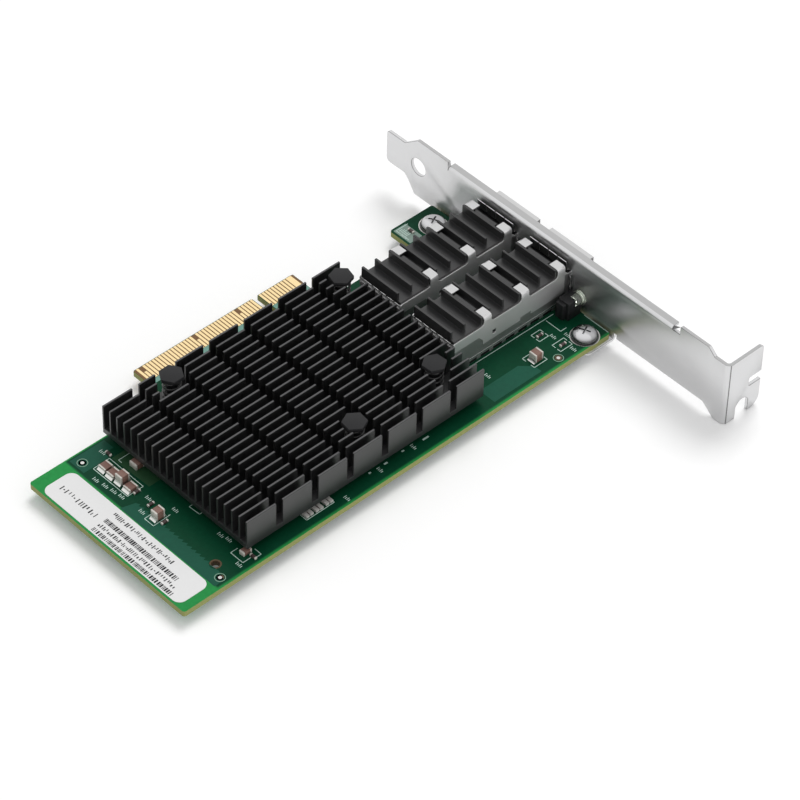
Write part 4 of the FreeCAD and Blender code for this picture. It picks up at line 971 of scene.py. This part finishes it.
@dataclass
class BracketScrews:
    """Pan-head screws with a smooth dome and a cross recess."""

    head_r: float = 3.3
    head_h: float = 2.1
    shank_r: float = 1.45
    rim: float = 0.5
    arm: float = 1.5
    half: float = 0.24
    recess: float = 0.75
    arm_turns: tuple[float, float] = (25.0, 115.0)

    def build(self) -> bpy.types.Object:
        """Turns both screws, cuts their recesses and replaces the CAD node."""
        low, high = SPACE.box("bracket_screws")
        places = ((low.x + self.head_r, low.y + self.head_r),
                  (high.x - self.head_r, high.y - self.head_r))
        sketch = Sketch()
        cutters = Sketch()
        for x, y in places:
            sketch.lathe(x, y, self.profile(low.z), 48)
            for turn in (math.radians(a) for a in self.arm_turns):
                reach = Vector((math.cos(turn), math.sin(turn))) * self.arm
                cutters.bar((x - reach.x, y - reach.y), (x + reach.x, y + reach.y),
                            2 * self.half, self.head_h - self.recess, 3.0)
        cutter = cutters.object("recess_cutter", [], Slot.SCREW_STEEL)
        piece = sketch.object("domed_screws", [Palette.SCREW], Slot.SCREW_STEEL)
        cut = piece.modifiers.new("recess", "BOOLEAN")
        cut.operation = "DIFFERENCE"
        cut.solver = "EXACT"
        cut.use_self = True
        cut.object = cutter
        apply_modifiers(piece)
        bpy.data.objects.remove(cutter, do_unlink=True)
        shade_by_angle(piece.data, EASED_ANGLE)
        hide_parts("bracket_screws")
        return piece

    def profile(self, foot: float) -> list[Point]:
        """Gives the half outline from the shank's end to the top of the dome."""
        shank = self.shank_r
        points: list[Point] = [(0.0, foot), (shank - 0.25, foot), (shank, foot + 0.3),
                               (shank, 0.0), (self.head_r - 0.1, 0.0), (self.head_r, 0.12),
                               (self.head_r, self.rim)]
        for k in range(1, 9):
            turn = math.pi / 2 * k / 9
            points.append((self.head_r * math.cos(turn) ** 0.8,
                           self.rim + (self.head_h - self.rim) * math.sin(turn)))
        points.append((0.0, self.head_h))
        return points


@dataclass
class CageSeams:
    """Creases and board-side slots on the long walls of both cages, drawn as painted light: a
    bright strip as each crease's painted highlight, and dark plates of painted shade for the window
    and the slots.
    """

    slot_length: float = 2.9
    pitch: float = 4.3
    proud: float = 0.05
    mouth: float = 9.0
    window: Point = (12.9, 14.2)

    def build(self) -> bpy.types.Object:
        """Adds the crease's painted-highlight strip, the window's dark plate and the slots' dark
        plates of painted shade on every long wall.
        """
        sketch = Sketch()
        for node in ("port_cage_1", "port_cage_2"):
            low, high = SPACE.box(node)
            for wall, side in ((low.y, -1), (high.y, 1)):
                y0, y1 = sorted((wall, wall + self.proud * side))
                end = high.x - self.mouth
                sketch.slab(rectangle(low.x, end, y0, y1), 1.5, 0.22, 0)
                window = rectangle(low.x + self.window[0], low.x + self.window[1], y0, y1)
                sketch.slab(window, 5.85, 1.3, 1)
                x = low.x + 0.9
                while x + self.slot_length < end:
                    sketch.slab(rectangle(x, x + self.slot_length, y0, y1), 0.15, 0.75, 1)
                    x += self.pitch
        return sketch.object("cage_seam_painted_light", [Palette.PLATED_LIT_EDGE, Palette.SHADE],
                             Slot.PLATED_SHEET)


def apply_modifiers(piece: bpy.types.Object) -> None:
    """Bakes an object's modifiers into its mesh."""
    depsgraph = bpy.context.evaluated_depsgraph_get()
    baked = bpy.data.meshes.new_from_object(piece.evaluated_get(depsgraph))
    piece.modifiers.clear()
    piece.data = baked


@dataclass
class SolderWork:
    """Small solder fillets at the ends of the soldered parts."""

    reach: float = 0.55
    rise: float = 0.45
    parts: tuple[tuple[Box, float], ...] = (
        ((15.35, 18.0, 46.35, 48.8), 1.1), ((15.3, 17.95, 43.35, 45.8), 1.1),
        ((15.25, 17.95, 37.2, 39.65), 1.1), ((15.5, 18.15, 40.5, 42.8), 1.6),
        ((14.05, 16.7, 26.0, 28.1), 1.6), ((117.8, 120.2, 4.7, 7.1), 1.4))

    def build(self) -> bpy.types.Object:
        """Adds a sloped fillet outside each end of each part."""
        sketch = Sketch()
        for (x0, x1, y0, y1), height in self.parts:
            self.wedge(sketch, x0, -1, y0, y1, self.rise * height)
            self.wedge(sketch, x1, 1, y0, y1, self.rise * height)
        return sketch.object("solder_fillets", [Palette.SOLDER], Slot.TIN, 50.0)

    def wedge(self, sketch: Sketch, x: float, way: int, y0: float, y1: float,
              height: float) -> None:
        """Adds one hollow-faced fillet against an end."""
        steps = 4
        profile = []
        for k in range(steps + 1):
            part = k / steps
            profile.append((x + way * self.reach * part, 0.01 + height * (1 - part) ** 2))
        near = [sketch.corner(a, y0, z) for a, z in profile] + [sketch.corner(x, y0, 0.0)]
        far = [sketch.corner(a, y1, z) for a, z in profile] + [sketch.corner(x, y1, 0.0)]
        sketch.face(near)
        sketch.face(reversed(far))
        for k in range(len(near)):
            j = (k + 1) % len(near)
            sketch.face((near[k], near[j], far[j], far[k]))


def dress_node(node: str, material: bpy.types.Material) -> None:
    """Gives a CAD node one material."""
    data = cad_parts[node].data
    data.materials.clear()
    data.materials.append(material)
    for face in data.polygons:
        face.material_index = 0


# ------------------------------------------------------------------ studio
@dataclass
class Studio:
    """Pale floor, soft lights, world and camera."""

    azimuth: float = -44.229
    elevation: float = 44.449
    roll: float = 1.562
    distance: float = 0.936727
    lens: float = 173.92
    target: tuple[float, float, float] = (84.409, 17.646, 0.0)
    paper: float = 0.94
    glow: float = 0.10
    dome: float = 0.60
    floor_drop: float = 0.02

    def build(self) -> None:
        """Sets up everything round the card."""
        self.floor()
        self.world()
        self.lamp("key_panel", (2.2, 1.1, 4.1), 2.4, 110.0)
        self.lamp("fill_panel", (0.3, -2.0, 0.25), 0.4, 8.0)
        self.camera()

    def floor(self) -> None:
        """Adds the pale floor, which keeps the card's shadow."""
        work = bmesh.new()
        bmesh.ops.create_grid(work, x_segments=1, y_segments=1, size=4.0)
        data = bpy.data.meshes.new("floor")
        work.to_mesh(data)
        work.free()
        plane = bpy.data.objects.new("floor", data)
        bpy.context.scene.collection.objects.link(plane)
        plane.location.z = -self.floor_drop * MM
        material = bpy.data.materials.new("floor_paper")
        material.use_nodes = True
        material.node_tree.nodes.clear()
        graph = NodeGraph(material.node_tree)
        paper = graph.add("ShaderNodeBsdfDiffuse", {"Color": (*grey(self.paper), 1.0)})
        glow = graph.add("ShaderNodeEmission", {"Color": (1.0, 1.0, 1.0, 1.0)})
        graph.join(graph.math("MULTIPLY", seen_rays(graph), self.glow), glow.inputs["Strength"])
        both = graph.add("ShaderNodeAddShader")
        graph.join(paper.outputs[0], both.inputs[0])
        graph.join(glow.outputs[0], both.inputs[1])
        out = graph.add("ShaderNodeOutputMaterial")
        graph.join(both.outputs[0], out.inputs["Surface"])
        data.materials.append(material)

    def world(self) -> None:
        """Lights the card evenly and shows white where the world is seen or mirrored."""
        world = bpy.data.worlds.new("studio")
        world.use_nodes = True
        bpy.context.scene.world = world
        graph = NodeGraph(world.node_tree)
        backdrop = world.node_tree.nodes["Background"]
        backdrop.inputs["Color"].default_value = (1.0, 1.0, 1.0, 1.0)
        rest = graph.math("MULTIPLY", seen_rays(graph), 1.0 - self.dome)
        level = graph.math("ADD", rest, self.dome)
        graph.join(level, backdrop.inputs["Strength"])

    def lamp(self, name: str, place: tuple[float, float, float], size: float,
             power: float) -> None:
        """Adds one square soft light that looks at the card's middle."""
        data = bpy.data.lights.new(name, "AREA")
        data.size = size
        data.energy = power
        lamp = bpy.data.objects.new(name, data)
        lamp.location = place
        lamp.rotation_euler = (-Vector(place)).to_track_quat("-Z", "Y").to_euler()
        lamp.visible_glossy = False
        lamp.visible_camera = False
        bpy.context.scene.collection.objects.link(lamp)

    def camera(self) -> None:
        """Stands the camera at its angle, turned by its small roll."""
        turn, rise, roll = (math.radians(a) for a in (self.azimuth, self.elevation, self.roll))
        back = Vector((math.sin(turn) * math.cos(rise), -math.cos(turn) * math.cos(rise),
                       math.sin(rise)))
        right = Vector((math.cos(turn), math.sin(turn), 0.0))
        up = back.cross(right)
        across = right * math.cos(roll) + up * math.sin(roll)
        upright = up * math.cos(roll) - right * math.sin(roll)
        data = bpy.data.cameras.new("camera")
        data.lens = self.lens
        data.sensor_width = 36.0
        data.clip_start = 0.01
        data.clip_end = 20.0
        camera = bpy.data.objects.new("camera", data)
        spot = SPACE.at(*self.target) + back * self.distance
        matrix = Matrix((across, upright, back)).transposed().to_4x4()
        matrix.translation = spot
        camera.matrix_world = matrix
        bpy.context.scene.collection.objects.link(camera)
        bpy.context.scene.camera = camera


PLAIN_NODES: dict[str, Finish] = {
    "edge_contacts_top": Palette.GOLD,
    "edge_contacts_bottom": Palette.GOLD,
    "board_label": Palette.LABEL,
    "controller_substrate": Palette.PACKAGE,
    "controller_lid": Palette.NICKEL,
    "thermal_pad": Palette.THERMAL,
    "port_socket_1": Palette.SOCKET,
    "port_socket_2": Palette.SOCKET,
    "socket_contacts_1": Palette.GOLD,
    "socket_contacts_2": Palette.GOLD,
    "lamp_leads": Palette.TIN,
    "memory_chip": Palette.MOULD,
    "clock_crystal": Palette.NICKEL,
    "power_inductors": Palette.FERRITE,
    "chip_resistors": Palette.CHIP,
}


def pair_of(node: str, name: str, *looks: object) -> list[SoftenedPart]:
    """Gives the same softening to the first and the second of a pair of nodes."""
    return [SoftenedPart(f"{node}_{n}", f"{name}_{n}", *looks) for n in (1, 2)]


# After the slot come the eased width, its segments, the top finish and how far down it reaches. The
# heat sink's lighter fin tops and the bright plated edges are painted highlight; the cage tops, the
# dark collar bodies and the bracket's dark edges and top are painted shade.
SOFTENED_PARTS = (
    SoftenedPart("main_heat_sink", "eased_heat_sink", Palette.BLACK_SINK, Palette.SINK_EDGE,
                 Slot.BLACK_ANODISED, 0.06, 1, Palette.SINK_LIT_TOP, clamp=False),
    *pair_of("cage_heat_sink", "eased_cage_sink", Palette.BLACK_SINK, Palette.SINK_EDGE,
             Slot.BLACK_ANODISED, 0.07, 1),
    *pair_of("sink_clip", "eased_clip", Palette.CLIP, Palette.PLATED_LIT_EDGE,
             Slot.PLATED_SHEET, 0.05, 1, Palette.TAB, 1.0),
    *pair_of("port_cage", "eased_cage", Palette.PLATED, Palette.PLATED_LIT_EDGE,
             Slot.PLATED_SHEET, 0.05, 1, Palette.SHADE, 0.6),
    *pair_of("shield_collar", "eased_collar", Palette.SHADED_METAL, Palette.PLATED_LIT_EDGE,
             Slot.PLATED_SHEET, 0.04, 1, Palette.TAB, 4.0),
    SoftenedPart("bracket", "eased_bracket", Palette.BRACKET, Palette.BRACKET_SHADED_EDGE,
                 Slot.BRACKET_STEEL, 0.10, 2, Palette.BRACKET_SHADED_TOP, 2.0, clamp=False),
    SoftenedPart("push_pins", "eased_push_pins", Palette.PIN, Palette.PIN,
                 Slot.PIN_PLASTIC, 0.15, 2),
    SoftenedPart("lamp_holder", "eased_lamp_holder", Palette.LAMP_BLACK, Palette.SINK_EDGE,
                 Slot.LAMP_PLASTIC, 0.08, 2),
    SoftenedPart("capacitors_low", "eased_low_capacitors", Palette.BROWN, Palette.BROWN,
                 Slot.CERAMIC_BROWN, 0.06, 2),
    SoftenedPart("capacitors_tall", "eased_tall_capacitors", Palette.DARK_BROWN, Palette.DARK_BROWN,
                 Slot.CERAMIC_DARK, 0.08, 2),
    SoftenedPart("terminations", "eased_terminations", Palette.TIN, Palette.TIN, Slot.TIN, 0.06, 2),
)


def main() -> None:
    """Dresses every node, adds the pieces and sets the studio."""
    logging.basicConfig(level=logging.INFO, format="%(name)s: %(message)s")
    bpy.context.scene.view_settings.view_transform = "Standard"
    for node, finish in PLAIN_NODES.items():
        dress_node(node, finish.material())
    dress_node("lamp_lens", lens_material())
    for part in SOFTENED_PARTS:
        LOG.info("made %s", part.build().name)
    for piece in BoardDressing().build():
        LOG.info("made %s", piece.name)
    for maker in (LabelPrint(), PinSprings(), BracketScrews(), SolderWork(), CageSeams()):
        LOG.info("made %s", maker.build().name)
    Studio().build()


if __name__ == "__main__":
    main()
